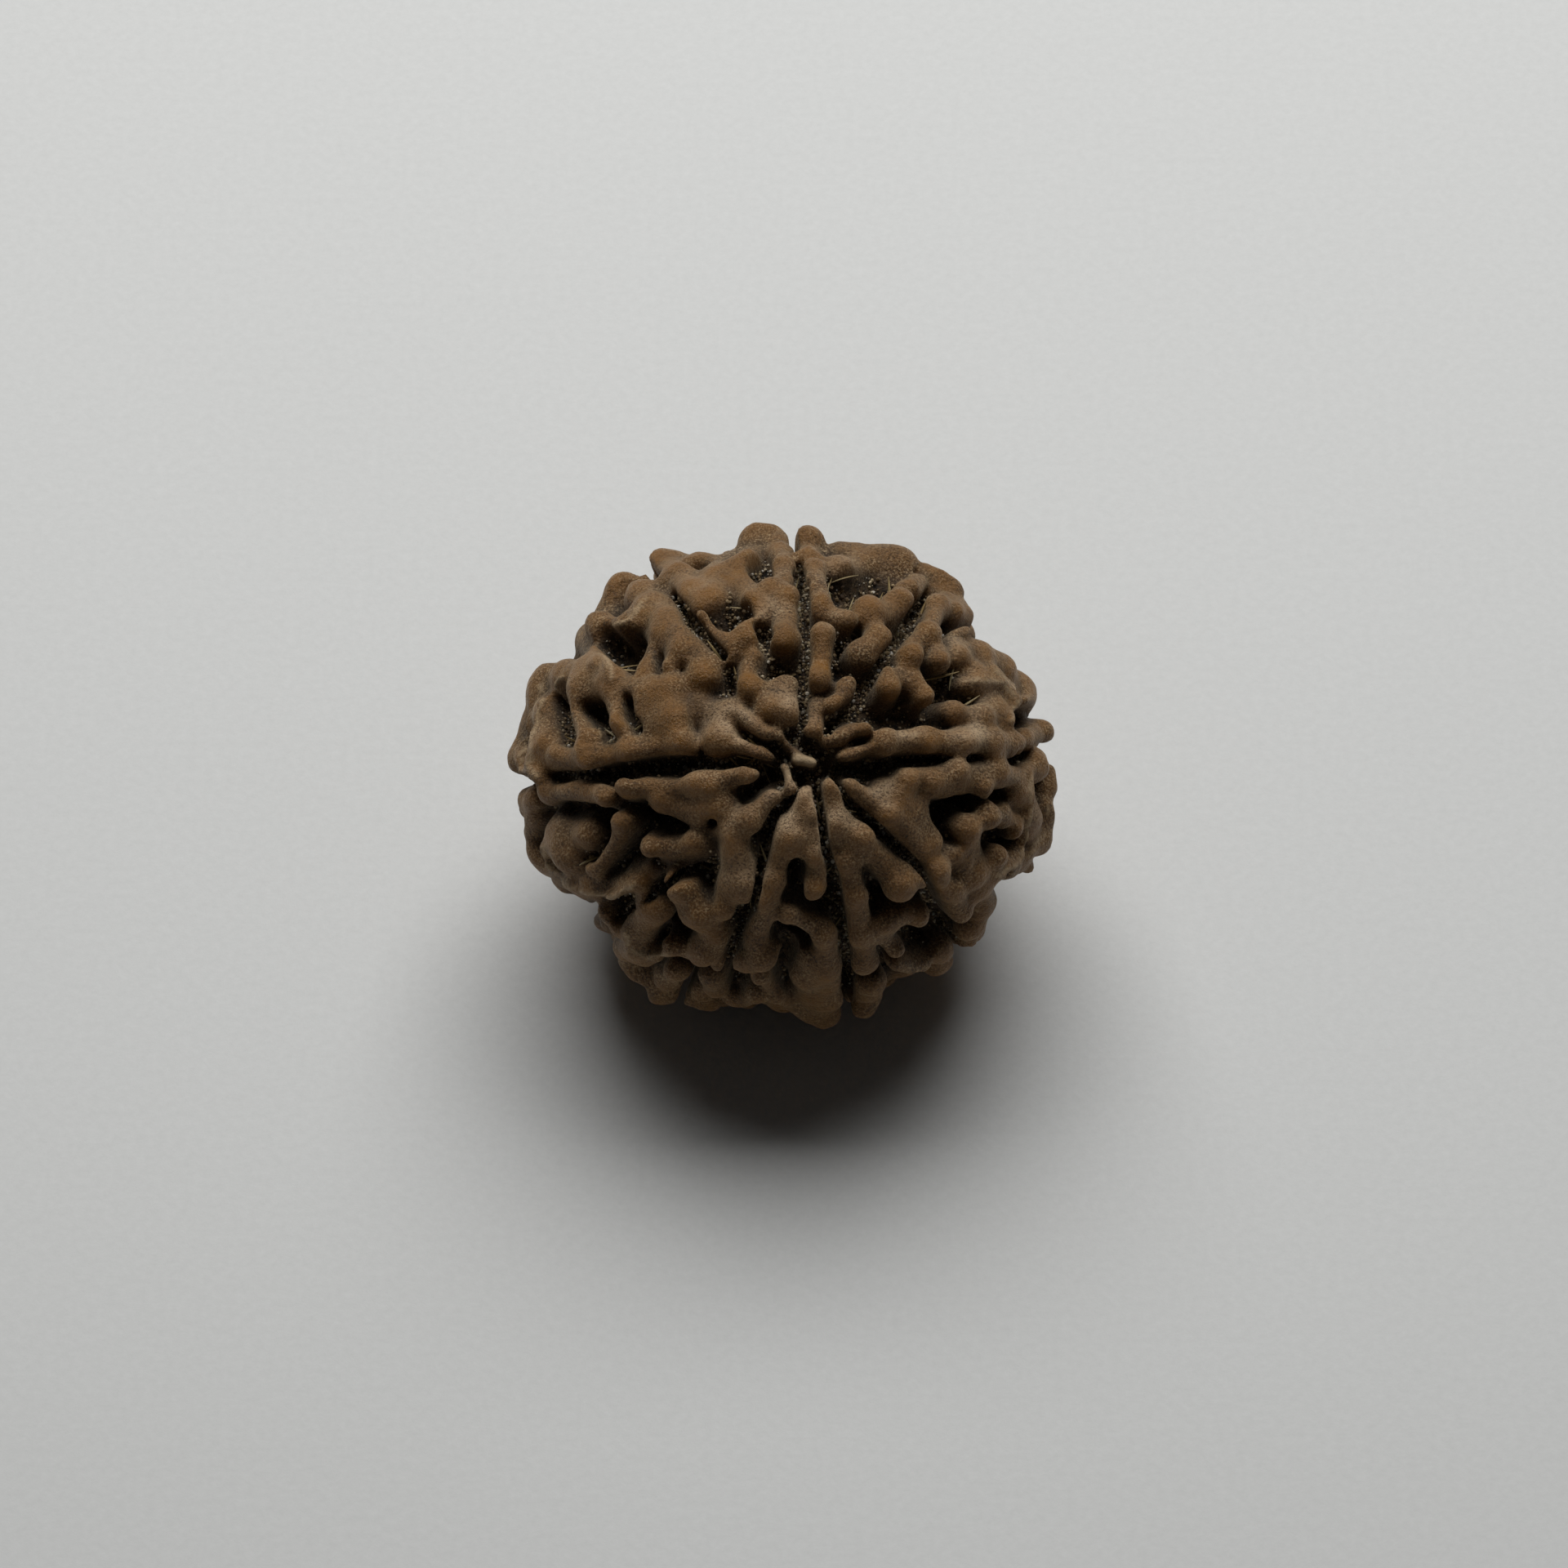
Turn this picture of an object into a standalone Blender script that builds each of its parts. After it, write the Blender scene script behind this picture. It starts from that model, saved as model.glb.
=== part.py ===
"""Rudraksha bead: a dried fruit stone with nine grooves from pole to pole and worm-like ridges between.

The bead is drawn in a plan frame, in millimetres: x to the right and y up on the face that is seen,
z out of that face. The shape is then turned about X to lie as it rests, with its lowest flats on z = 0.
"""

import itertools
import math

import bpy
import numpy as np

MM = 0.001
SEED = 9

# The ridge crests touch an ellipsoid with these half sizes, and the floor between them lies deeper.
CREST = np.array((13.6, 12.1, 11.5))
FLOOR_DEPTH = 2.4
CAP_MOST = 1.2
WALL_DEPTH = 3.2
WALL_FLARE = 0.22
ROUNDING = 0.5
SLOT_ROUNDING = 0.15
PIT_ROUNDING = 0.4
SLOT_REACH = 4.2
LEAN = math.radians(36.0)
FLAT_CUT = 0.55
POLE = (1.13, 0.80)

# The surface is sampled on a grid of this pitch, then thinned to this many triangles.
GRID_STEP = 0.3
GRID_MARGIN = 1.2
MOST_TRIANGLES = 11800

# What lies this close to the resting plane is part of the flat that the bead rests on.
FLAT_SNAP = 0.08

# Azimuths of the nine grooves round the pole, in degrees from +x.
MUKHI_AZIMUTHS = (5, 56, 88, 124, 181, 215, 245, 286, 316)

# The bead's outline in the plan frame, clockwise from the notch of the north-west groove.
OUTLINE = (
    (-6.55, 9.65), (-6.9, 11.0), (-6.5, 11.35), (-4.7, 11.5), (-3.6, 11.1), (-2.6, 11.3), (-2.0, 11.1),
    (-1.9, 11.9), (-0.9, 12.65), (-0.25, 12.55), (0.3, 11.6), (0.95, 12.75), (1.5, 12.4), (2.15, 11.1),
    (4.2, 11.5), (6.0, 11.4), (6.8, 11.1), (6.9, 10.5), (8.4, 10.0), (9.25, 9.0), (9.2, 8.0), (9.7, 7.4),
    (9.5, 7.0), (11.2, 6.1), (11.8, 5.6), (12.9, 4.0), (12.3, 2.9), (13.4, 2.5), (12.9, 1.2), (13.7, 0.3),
    (13.9, -0.5), (13.85, -2.0), (13.4, -4.0), (12.5, -4.7), (10.6, -5.2), (10.7, -6.6), (10.3, -7.5),
    (9.3, -8.8), (8.7, -9.7), (8.0, -9.9), (5.4, -10.5), (5.3, -11.4), (3.9, -12.3), (3.3, -11.6),
    (2.6, -12.7), (1.0, -11.9), (-2.0, -11.6), (-4.6, -12.0), (-5.9, -11.2), (-7.7, -10.1), (-8.6, -8.7),
    (-9.5, -7.2), (-9.3, -6.4), (-11.5, -5.6), (-12.3, -4.6), (-13.1, -2.3), (-13.4, -1.1), (-12.5, -0.25),
    (-13.9, 0.7), (-13.7, 3.0), (-12.9, 5.1), (-11.3, 6.1), (-9.8, 6.45), (-9.5, 8.6), (-8.0, 10.1),
)

# Each ridge: half-width at its start and end, lift over the crests, and the points of its centre line.
RIDGES = (
    # Between the north-west groove and the north groove
    (1.2, 1.2, 0.0, ((-5.8, 10.3), (-5.0, 9.6), (-4.3, 8.9))),
    (0.9, 0.8, 0.0, ((-5.8, 10.5), (-4.6, 10.7), (-3.2, 10.3), (-2.3, 10.3))),
    (0.8, 1.1, 0.0, ((-3.3, 10.0), (-3.4, 9.2), (-3.7, 8.6))),
    (0.8, 0.7, -0.3, ((-2.3, 9.6), (-1.6, 8.9), (-1.2, 8.4))),
    (0.8, 0.65, 0.05, ((-1.1, 11.8), (-1.4, 11.3), (-1.7, 10.8))),
    (0.5, 0.45, 0.0, ((-0.45, 12.0), (-0.2, 11.3), (0.05, 10.6), (0.0, 9.8), (-0.5, 9.3))),
    (0.5, 0.8, 0.0, ((0.15, 8.9), (0.2, 8.0), (0.15, 7.2), (0.1, 6.7))),
    (0.4, 0.4, -0.1, ((-0.4, 8.6), (-1.0, 8.1), (-1.2, 7.5))),
    (0.45, 0.7, 0.0, ((-3.95, 7.9), (-3.6, 7.2), (-2.9, 6.7), (-2.3, 6.6), (-1.7, 6.9))),
    (0.5, 0.5, -0.2, ((-2.9, 6.4), (-2.7, 6.0))),
    (0.5, 0.6, 0.0, ((-1.4, 6.0), (-1.7, 5.3), (-1.6, 4.5))),
    (0.6, 0.6, -0.2, ((0.1, 4.5), (0.0, 3.8), (0.2, 3.1))),
    (0.5, 0.5, -0.3, ((-0.7, 4.2), (-0.5, 3.4))),
    (0.16, 0.16, -0.2, ((0.05, 1.8), (0.3, 1.4), (0.7, 1.2))),
    # Between the west groove and the north-west groove
    (0.7, 0.75, 0.0, ((-8.0, 9.4), (-7.1, 9.1), (-6.4, 8.5), (-5.8, 7.7), (-5.3, 6.9), (-4.8, 6.2))),
    (0.75, 0.75, 0.0, ((-8.8, 8.3), (-8.5, 8.9), (-8.0, 9.3))),
    (0.45, 0.5, -0.1, ((-9.2, 7.7), (-8.3, 7.7), (-7.5, 8.1), (-6.9, 8.6))),
    (0.45, 0.55, 0.0, ((-9.3, 7.7), (-9.3, 7.0), (-9.2, 6.3), (-8.9, 5.6))),
    (0.8, 0.9, 0.0, ((-4.6, 6.2), (-4.1, 5.5), (-3.9, 4.9))),
    (0.45, 0.4, -0.5, ((-6.7, 7.8), (-6.4, 7.0), (-6.5, 6.0), (-6.7, 5.3))),
    (0.5, 0.45, -0.3, ((-5.8, 7.2), (-5.5, 6.3), (-5.6, 5.4))),
    (0.9, 0.9, 0.0, (
        (-11.6, 4.8), (-10.8, 5.1), (-9.7, 5.1), (-8.9, 4.6), (-7.8, 4.1), (-6.6, 4.1), (-5.5, 4.2),
    )),
    (1.0, 1.1, 0.0, ((-12.1, 4.1), (-12.5, 3.0), (-12.7, 1.8), (-12.8, 1.0))),
    (0.8, 0.8, 0.0, ((-11.9, 4.3), (-11.9, 2.8), (-11.6, 1.5))),
    (0.75, 0.7, 0.0, ((-10.1, 4.4), (-10.0, 3.4), (-9.9, 2.4), (-9.6, 1.8))),
    (0.7, 0.6, 0.0, ((-12.3, 0.8), (-11.4, 0.9), (-10.4, 1.0), (-9.7, 1.1))),
    (0.6, 0.7, 0.1, ((-9.5, 1.1), (-8.9, 1.1), (-8.0, 1.15), (-7.0, 1.35), (-5.8, 1.6), (-4.9, 1.6))),
    (0.7, 0.6, 0.0, ((-8.3, 4.1), (-8.0, 3.4), (-7.9, 2.7))),
    (1.0, 0.8, 0.0, ((-6.1, 4.0), (-6.0, 3.2), (-5.4, 2.6))),
    (0.9, 1.1, 0.0, ((-2.8, 3.1), (-3.0, 2.4), (-3.0, 1.9))),
    (0.4, 0.3, 0.0, ((-2.3, 3.2), (-1.6, 2.6), (-1.0, 2.2), (-0.4, 1.95))),
    (0.4, 0.28, -0.1, ((-2.1, 1.5), (-1.4, 1.25), (-0.6, 0.95))),
    # Between the south-west groove and the west groove
    (0.5, 0.45, -0.1, ((-11.8, -0.85), (-11.0, -0.85), (-10.0, -0.75), (-9.2, -0.95), (-8.7, -1.1))),
    (0.5, 0.6, 0.0, ((-12.9, -1.2), (-12.6, -2.0), (-12.6, -2.9), (-12.2, -3.9))),
    (1.6, 1.5, 0.15, ((-10.8, -3.3), (-10.4, -3.9))),
    (0.9, 0.82, -0.25, ((-11.0, -2.8), (-10.1, -2.8), (-9.6, -2.9))),
    (0.8, 0.7, -0.1, ((-11.7, -4.3), (-11.0, -5.0), (-10.2, -5.3))),
    (0.45, 0.5, 0.0, ((-8.0, -2.3), (-8.3, -3.2), (-8.7, -3.9), (-9.3, -4.6))),
    (0.55, 0.45, -0.3, ((-9.6, -5.1), (-8.8, -5.4), (-7.9, -5.3), (-7.0, -5.1))),
    (0.45, 0.55, 0.1, ((-7.8, -0.65), (-7.0, -0.55), (-6.1, -0.5), (-5.2, -0.5), (-4.3, -0.35))),
    (0.5, 0.42, 0.1, ((-3.6, -0.4), (-2.7, -0.15), (-2.0, 0.1), (-1.7, 0.2))),
    (0.7, 0.7, -0.3, ((-5.9, -1.15), (-4.9, -1.6), (-4.1, -1.9), (-3.4, -1.4))),
    (0.45, 0.5, -0.2, ((-6.6, -3.4), (-6.0, -3.5), (-5.2, -3.6), (-4.4, -3.4))),
    (0.4, 0.4, -0.9, ((-7.2, -4.5), (-6.4, -4.6))),
    # Between the south groove and the south-west groove
    (0.45, 0.7, 0.0, ((-0.5, -1.0), (-1.1, -1.6), (-1.7, -2.1))),
    (0.6, 0.6, -0.2, ((-2.7, -1.3), (-2.5, -2.2), (-2.4, -2.9))),
    (0.95, 1.15, 0.25, ((-2.3, -3.8), (-2.2, -4.6), (-2.2, -5.2))),
    (0.45, 0.45, 0.0, ((-2.9, -5.9), (-2.9, -6.5))),
    (0.78, 0.78, 0.15, ((-5.0, -5.4), (-4.5, -6.2), (-3.7, -7.0), (-3.4, -7.7), (-3.8, -8.5))),
    (0.5, 0.6, 0.05, ((-5.5, -8.4), (-4.7, -8.8), (-3.9, -8.7))),
    (0.85, 0.95, 0.0, ((-6.3, -6.5), (-7.0, -7.4), (-7.2, -8.3))),
    (0.42, 0.42, 0.0, ((-9.0, -6.9), (-8.7, -7.4), (-8.2, -7.7))),
    (0.55, 0.75, 0.0, ((-8.0, -8.7), (-7.6, -9.5), (-6.9, -10.2), (-6.2, -10.5))),
    (0.3, 0.3, 0.0, ((-7.8, -8.7), (-7.4, -9.1), (-6.8, -9.15), (-6.2, -9.1))),
    (0.6, 0.6, 0.0, ((-5.3, -9.7), (-5.7, -10.2))),
    (0.55, 0.5, 0.0, ((-3.2, -9.4), (-2.5, -9.4), (-1.9, -9.1))),
    (0.6, 0.6, 0.0, ((-3.6, -10.1), (-3.4, -10.7))),
    (0.55, 0.6, 0.0, ((-4.9, -11.2), (-4.2, -11.3), (-3.6, -11.2))),
    (0.5, 0.45, 0.0, ((-2.6, -11.2), (-2.0, -11.3), (-1.2, -11.0))),
    (0.55, 0.75, 0.05, ((-0.8, -6.0), (-0.9, -6.9), (-1.3, -7.8), (-1.2, -8.7))),
    (0.5, 0.55, -0.1, ((-0.1, -3.8), (-0.3, -4.5), (-0.5, -5.1))),
    (0.6, 0.85, 0.0, ((1.0, -1.0), (0.8, -2.0), (0.5, -3.0))),
    (0.4, 0.45, 0.0, ((1.3, -1.8), (1.4, -2.8), (1.6, -3.8))),
    (0.45, 0.6, 0.05, ((1.7, -4.3), (1.7, -4.9), (1.65, -5.4))),
    (0.45, 0.7, 0.0, (
        (0.2, -6.9), (1.1, -7.3), (1.9, -7.6), (2.2, -8.5), (2.1, -9.7), (2.3, -10.8), (2.3, -11.9),
    )),
    (0.8, 0.9, -0.1, ((1.2, -9.9), (1.5, -10.8), (1.6, -11.4))),
    (0.35, 0.4, 0.0, ((-1.1, -9.9), (-0.8, -10.6), (-0.3, -11.1), (0.4, -11.6), (1.1, -11.9))),
    (0.14, 0.14, -0.6, ((-0.4, -8.4), (0.3, -8.5), (0.9, -8.7))),
    # Between the south groove and the south-east groove
    (0.58, 0.72, 0.1, (
        (2.2, -0.5), (2.6, -1.5), (3.2, -2.4), (3.9, -3.2), (4.7, -4.0), (5.5, -4.8), (5.9, -5.1),
    )),
    (0.6, 0.7, 0.0, (
        (2.6, -2.4), (2.9, -3.6), (3.4, -5.0), (3.65, -6.3), (3.9, -7.6), (4.1, -8.6), (4.1, -9.2),
    )),
    (0.6, 0.55, 0.0, ((5.1, -7.2), (6.0, -6.95), (6.9, -6.9))),
    (0.4, 0.4, -0.1, ((4.8, -8.0), (5.3, -8.4), (5.7, -8.6))),
    (0.75, 0.75, 0.0, ((8.0, -8.9), (7.7, -9.1))),
    (0.25, 0.3, 0.0, ((5.7, -9.5), (6.4, -9.6), (7.1, -9.5))),
    (0.6, 0.7, 0.0, ((4.5, -10.4), (4.6, -11.1), (4.2, -11.6))),
    # Between the south-east groove and the east groove
    (0.48, 0.68, 0.1, ((3.3, -0.6), (4.2, -1.1), (5.2, -1.75), (6.1, -2.7), (6.8, -3.7), (7.4, -4.6))),
    (0.7, 0.6, 0.15, ((7.4, -4.6), (8.0, -5.4), (8.7, -6.2), (9.0, -6.8))),
    (0.45, 0.5, -0.15, ((8.4, -3.8), (8.9, -4.8), (9.5, -5.8))),
    (0.28, 0.28, 0.0, ((9.25, -4.2), (9.3, -5.3))),
    (0.6, 0.6, -0.2, ((5.8, -0.9), (6.5, -1.5), (7.0, -2.4), (7.5, -3.2))),
    (0.55, 0.5, 0.1, (
        (6.2, -0.05), (7.0, 0.0), (8.0, 0.0), (9.0, 0.15), (10.0, 0.2), (11.0, 0.05), (12.0, 0.1),
        (12.8, 0.4),
    )),
    (0.55, 0.45, -0.1, ((7.3, -0.5), (8.1, -0.7), (9.0, -0.4), (9.9, -0.3))),
    (0.9, 1.0, 0.0, ((11.6, -0.7), (12.1, -1.6), (12.2, -2.6), (11.9, -3.6))),
    (0.45, 0.4, 0.0, ((12.8, 0.9), (13.2, 0.2))),
    (0.6, 0.6, 0.0, ((13.25, -0.5), (13.3, -1.9), (12.9, -3.3))),
    (0.6, 0.7, 0.0, ((10.2, -1.8), (11.0, -1.7), (11.5, -2.5))),
    (0.75, 0.7, -0.1, ((9.0, -2.6), (9.3, -3.5), (9.5, -4.6))),
    (0.45, 0.45, 0.0, ((10.6, -4.0), (11.5, -4.1), (12.2, -4.1))),
    (0.35, 0.35, 0.0, ((10.9, -4.9), (11.7, -4.8), (12.3, -4.5))),
    (0.6, 0.65, 0.0, ((10.0, -5.3), (10.1, -6.5), (9.7, -7.4), (9.2, -8.1))),
    # Between the east groove and the north-east groove
    (0.3, 0.4, 0.0, ((3.0, 0.95), (3.7, 1.2), (4.4, 1.45), (5.0, 1.6))),
    (0.62, 0.6, 0.15, (
        (5.1, 1.65), (6.2, 1.75), (7.4, 1.75), (8.6, 1.75), (9.8, 1.85), (10.7, 1.7), (11.6, 1.65),
    )),
    (0.5, 0.5, 0.0, ((11.6, 1.65), (12.2, 1.85), (12.95, 2.4))),
    (0.3, 0.3, 0.0, ((12.3, 3.9), (12.6, 3.9))),
    (0.4, 0.45, 0.0, ((2.9, 2.05), (3.5, 2.35), (4.1, 2.4))),
    (0.72, 0.66, 0.1, ((5.2, 4.9), (5.4, 4.4))),
    (0.62, 0.5, -0.1, ((6.4, 4.6), (6.8, 4.3), (7.0, 3.9))),
    (0.5, 0.55, 0.05, ((7.2, 7.1), (6.6, 6.7), (6.35, 6.0))),
    (0.42, 0.42, 0.0, ((7.3, 6.9), (7.8, 6.5), (7.85, 5.8))),
    (0.38, 0.38, -0.35, ((6.35, 5.7), (6.0, 5.1), (6.4, 4.7))),
    (0.5, 0.5, 0.05, ((8.7, 8.3), (8.4, 8.95), (7.9, 8.6), (7.6, 7.8), (7.3, 7.2))),
    (0.5, 0.55, 0.0, ((8.0, 10.1), (8.7, 9.6), (9.0, 8.9), (9.1, 8.1))),
    (0.3, 0.35, 0.0, ((8.8, 7.3), (9.35, 7.35))),
    (0.55, 0.55, -0.1, ((8.5, 6.6), (9.1, 6.4), (8.9, 5.9))),
    (0.9, 0.95, 0.0, ((9.8, 6.0), (10.8, 5.4), (11.4, 4.9), (11.9, 4.2))),
    (0.85, 0.82, -0.1, ((9.6, 4.9), (10.5, 4.6), (10.9, 3.9), (10.5, 3.2))),
    (0.5, 0.5, -0.2, ((8.5, 3.3), (9.2, 2.9), (9.9, 3.0))),
    (0.3, 0.3, -0.2, ((11.4, 3.9), (11.4, 3.2), (11.2, 2.7))),
    # Between the north-east groove and the north groove
    (0.85, 0.75, 0.05, ((1.15, 11.9), (1.35, 11.3), (1.3, 10.9))),
    (0.48, 0.5, 0.0, ((1.6, 10.5), (1.65, 9.9), (1.75, 9.2), (1.9, 8.6))),
    (0.5, 0.5, 0.0, ((1.75, 8.3), (2.4, 8.1), (3.1, 7.7))),
    (0.6, 0.65, 0.1, ((2.0, 7.0), (2.0, 6.0), (1.95, 5.2), (1.9, 4.8))),
    (0.55, 0.5, 0.0, ((3.2, 4.6), (3.1, 4.0), (2.5, 3.6))),
    (0.45, 0.4, -0.2, ((1.8, 3.6), (1.7, 2.9), (1.6, 2.3))),
    (0.28, 0.3, -0.1, ((1.7, 2.1), (2.15, 1.85))),
    (0.9, 0.9, 0.0, ((2.9, 10.4), (4.0, 10.6), (5.0, 10.5), (6.0, 10.4))),
    (0.5, 0.58, 0.05, ((7.3, 10.2), (6.8, 9.8), (6.3, 9.4))),
    (0.7, 0.7, 0.0, ((4.4, 8.0), (5.2, 8.1), (5.9, 8.5))),
    (0.75, 0.65, 0.0, ((3.9, 6.1), (4.4, 6.4), (4.9, 6.8))),
)

# Broad saddles and plateaus that join the ridges a little under their crests, in the same form as the ridges.
WEBS = (
    (1.2, 1.2, -0.35, ((-11.4, 4.6), (-11.8, 2.6), (-11.3, 1.4))),
    (1.2, 1.1, -0.4, ((-7.0, 3.6), (-5.0, 3.2))),
    (0.9, 0.9, -0.5, ((-9.3, 5.6), (-9.6, 6.9))),
    (0.8, 0.8, -0.8, ((-11.0, 3.6), (-10.8, 2.0))),
    (0.7, 0.7, -0.6, ((-9.0, 7.2), (-8.4, 8.4), (-7.6, 9.3))),
    (1.1, 1.0, -0.3, ((-5.4, 9.9), (-3.2, 10.2), (-2.0, 10.7))),
    (0.9, 0.9, -1.1, ((-2.5, 8.8), (-1.8, 8.2))),
    (1.2, 1.2, -0.25, ((3.0, 10.9), (5.6, 10.7))),
    (1.2, 1.1, -0.35, ((9.7, 5.7), (10.9, 4.7), (10.6, 3.6))),
    (1.1, 1.1, -0.3, ((11.7, -1.8), (11.9, -3.2), (11.3, -4.0))),
    (1.0, 0.9, -0.5, ((8.4, -3.0), (8.9, -4.2))),
    (0.9, 0.9, -0.25, ((5.0, -0.9), (6.4, -1.4))),
    (0.8, 0.8, -0.2, ((0.7, -2.4), (0.9, -3.3))),
    (0.7, 0.7, -0.15, ((3.0, -2.8), (3.5, -3.6))),
    (0.7, 0.7, -0.3, ((4.5, -7.4), (5.4, -7.3))),
    (1.0, 1.1, -0.2, ((1.7, -8.8), (1.6, -10.4), (1.7, -11.3))),
    (1.1, 1.0, -0.3, ((-3.9, -1.4), (-2.5, -2.4))),
    (0.8, 0.8, -0.8, ((-5.4, -3.5), (-3.8, -3.4))),
    (1.0, 0.9, -0.3, ((-10.6, -4.9), (-9.2, -5.4))),
    (1.0, 1.0, 0.0, ((-6.9, -9.9), (-6.0, -10.6))),
    (0.8, 0.8, -0.4, ((-4.1, 3.6), (-3.2, 2.6))),
)

# The small stub at the pole and the strand beside it, which stand in the pit there, in the same form.
POLE_STUBS = (
    (0.27, 0.25, 0.35, ((0.8, 0.86), (1.2, 0.78), (1.5, 0.7))),
    (0.16, 0.2, 0.1, ((0.05, 0.5), (0.25, 0.1), (0.35, -0.5))),
)

# Near the pole the ridges dip: how deep, and how far out.
POLE_DIP = 0.8
POLE_DIP_RADIUS = 1.7

# Each hollow deepens the floor between ridges: half-width, depth under the crests, and its centre line.
HOLLOWS = (
    (1.0, 4.2, ((-8.0, 6.9), (-7.6, 5.9))),
    (0.3, 3.2, ((-2.5, 5.6), (-2.7, 4.5))),
    (0.5, 3.6, ((-0.2, 5.6), (0.8, 5.5))),
    (1.1, 4.4, ((-7.2, -1.9), (-5.9, -2.4))),
    (0.4, 3.2, ((-9.6, -1.8), (-8.6, -1.9))),
    (0.5, 3.2, ((-5.0, -3.0), (-3.9, -2.9))),
    (0.6, 3.6, ((-7.6, -3.7), (-6.4, -4.6), (-4.4, -4.4))),
    (0.6, 3.4, ((-8.4, -6.8), (-7.9, -6.7))),
    (0.4, 3.2, ((-5.4, -7.2), (-5.0, -7.5))),
    (0.35, 3.4, ((-1.9, -6.7), (-2.4, -8.2))),
    (0.5, 3.4, ((0.2, -8.1), (0.3, -9.2))),
    (0.5, 3.2, ((-1.7, -10.4), (-1.3, -10.6))),
    (0.3, 3.2, ((1.0, -6.1), (2.4, -6.4))),
    (0.35, 3.2, ((4.6, -5.7), (6.3, -6.1))),
    (0.5, 3.4, ((7.0, -5.8), (7.2, -7.6), (8.2, -7.6))),
    (0.5, 3.2, ((6.4, -8.5), (6.7, -8.9))),
    (0.4, 3.4, ((7.4, -1.9), (8.6, -1.7), (9.6, -1.3))),
    (0.55, 3.6, ((2.6, 0.3), (3.8, 0.2), (5.2, 0.05))),
    (0.35, 3.2, ((2.3, 1.5), (3.4, 1.5))),
    (0.5, 3.6, ((4.8, 3.0), (6.8, 3.0))),
    (0.6, 3.2, ((3.0, 9.2), (4.6, 9.1), (5.4, 9.4))),
    (0.7, 3.8, ((3.6, 5.3), (4.4, 5.0), (4.2, 4.0))),
    (0.5, 3.4, ((7.1, 5.2), (8.0, 5.0), (7.9, 4.0))),
    (0.4, 3.0, ((-0.7, 0.3), (0.8, -0.2))),
)

# Each pit is sunk into the ridges: half-width, depth under the crests, and its centre line.
PITS = (
    (0.6, 1.9, ((0.75, 0.55), (1.6, 0.55))),
    (0.28, 1.6, ((-10.85, 3.7), (-10.8, 2.7), (-10.4, 1.7))),
    (0.42, 2.2, ((-9.0, 3.1), (-8.5, 2.5))),
    (0.3, 1.4, ((-7.35, 3.6), (-7.3, 2.8), (-6.9, 2.3))),
    (0.45, 1.2, ((-4.4, 10.4), (-4.0, 10.4))),
    (0.55, 1.5, ((-2.9, 8.0), (-2.0, 8.0))),
    (0.5, 1.6, ((-1.2, 10.0), (-0.8, 10.3))),
    (0.4, 1.6, ((-1.0, 6.9), (-0.8, 6.6))),
    (0.5, 1.5, ((2.9, 9.1), (3.9, 8.9))),
    (0.3, 1.2, ((4.9, 9.9), (4.9, 9.0))),
    (0.42, 1.5, ((-7.7, 8.6), (-7.3, 8.9))),
    (0.2, 1.1, ((-9.3, -4.0), (-9.0, -3.6))),
    (0.28, 1.6, ((-10.5, -1.5), (-10.3, -1.5))),
    (0.28, 1.6, ((-11.6, -1.8), (-11.3, -1.8))),
    (0.4, 1.6, ((-6.9, -9.75), (-6.6, -9.7))),
    (0.22, 1.4, ((-3.45, -2.2), (-3.3, -2.2))),
    (0.26, 1.4, ((0.3, -11.0), (0.7, -11.3))),
    (0.32, 1.5, ((0.7, -4.1), (0.7, -5.4))),
    (0.42, 1.8, ((10.6, -2.7), (10.6, -3.2))),
    (0.2, 1.4, ((8.0, -2.9), (8.2, -3.1))),
    (0.2, 1.4, ((10.3, -4.5), (10.6, -4.4))),
    (0.28, 1.8, ((10.0, -1.1), (10.5, -0.8))),
    (0.3, 1.8, ((10.7, 2.6), (11.1, 2.9))),
    (0.24, 1.4, ((8.7, 8.1), (8.8, 7.9))),
    (0.26, 1.4, ((7.2, 9.0), (7.5, 8.9))),
    (0.3, 1.6, ((0.45, 2.05), (0.55, 1.95))),
    (0.22, 1.4, ((1.3, 1.65), (1.5, 1.65))),
    (0.2, 1.4, ((-0.4, 1.55), (-0.3, 1.5))),
)

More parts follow.
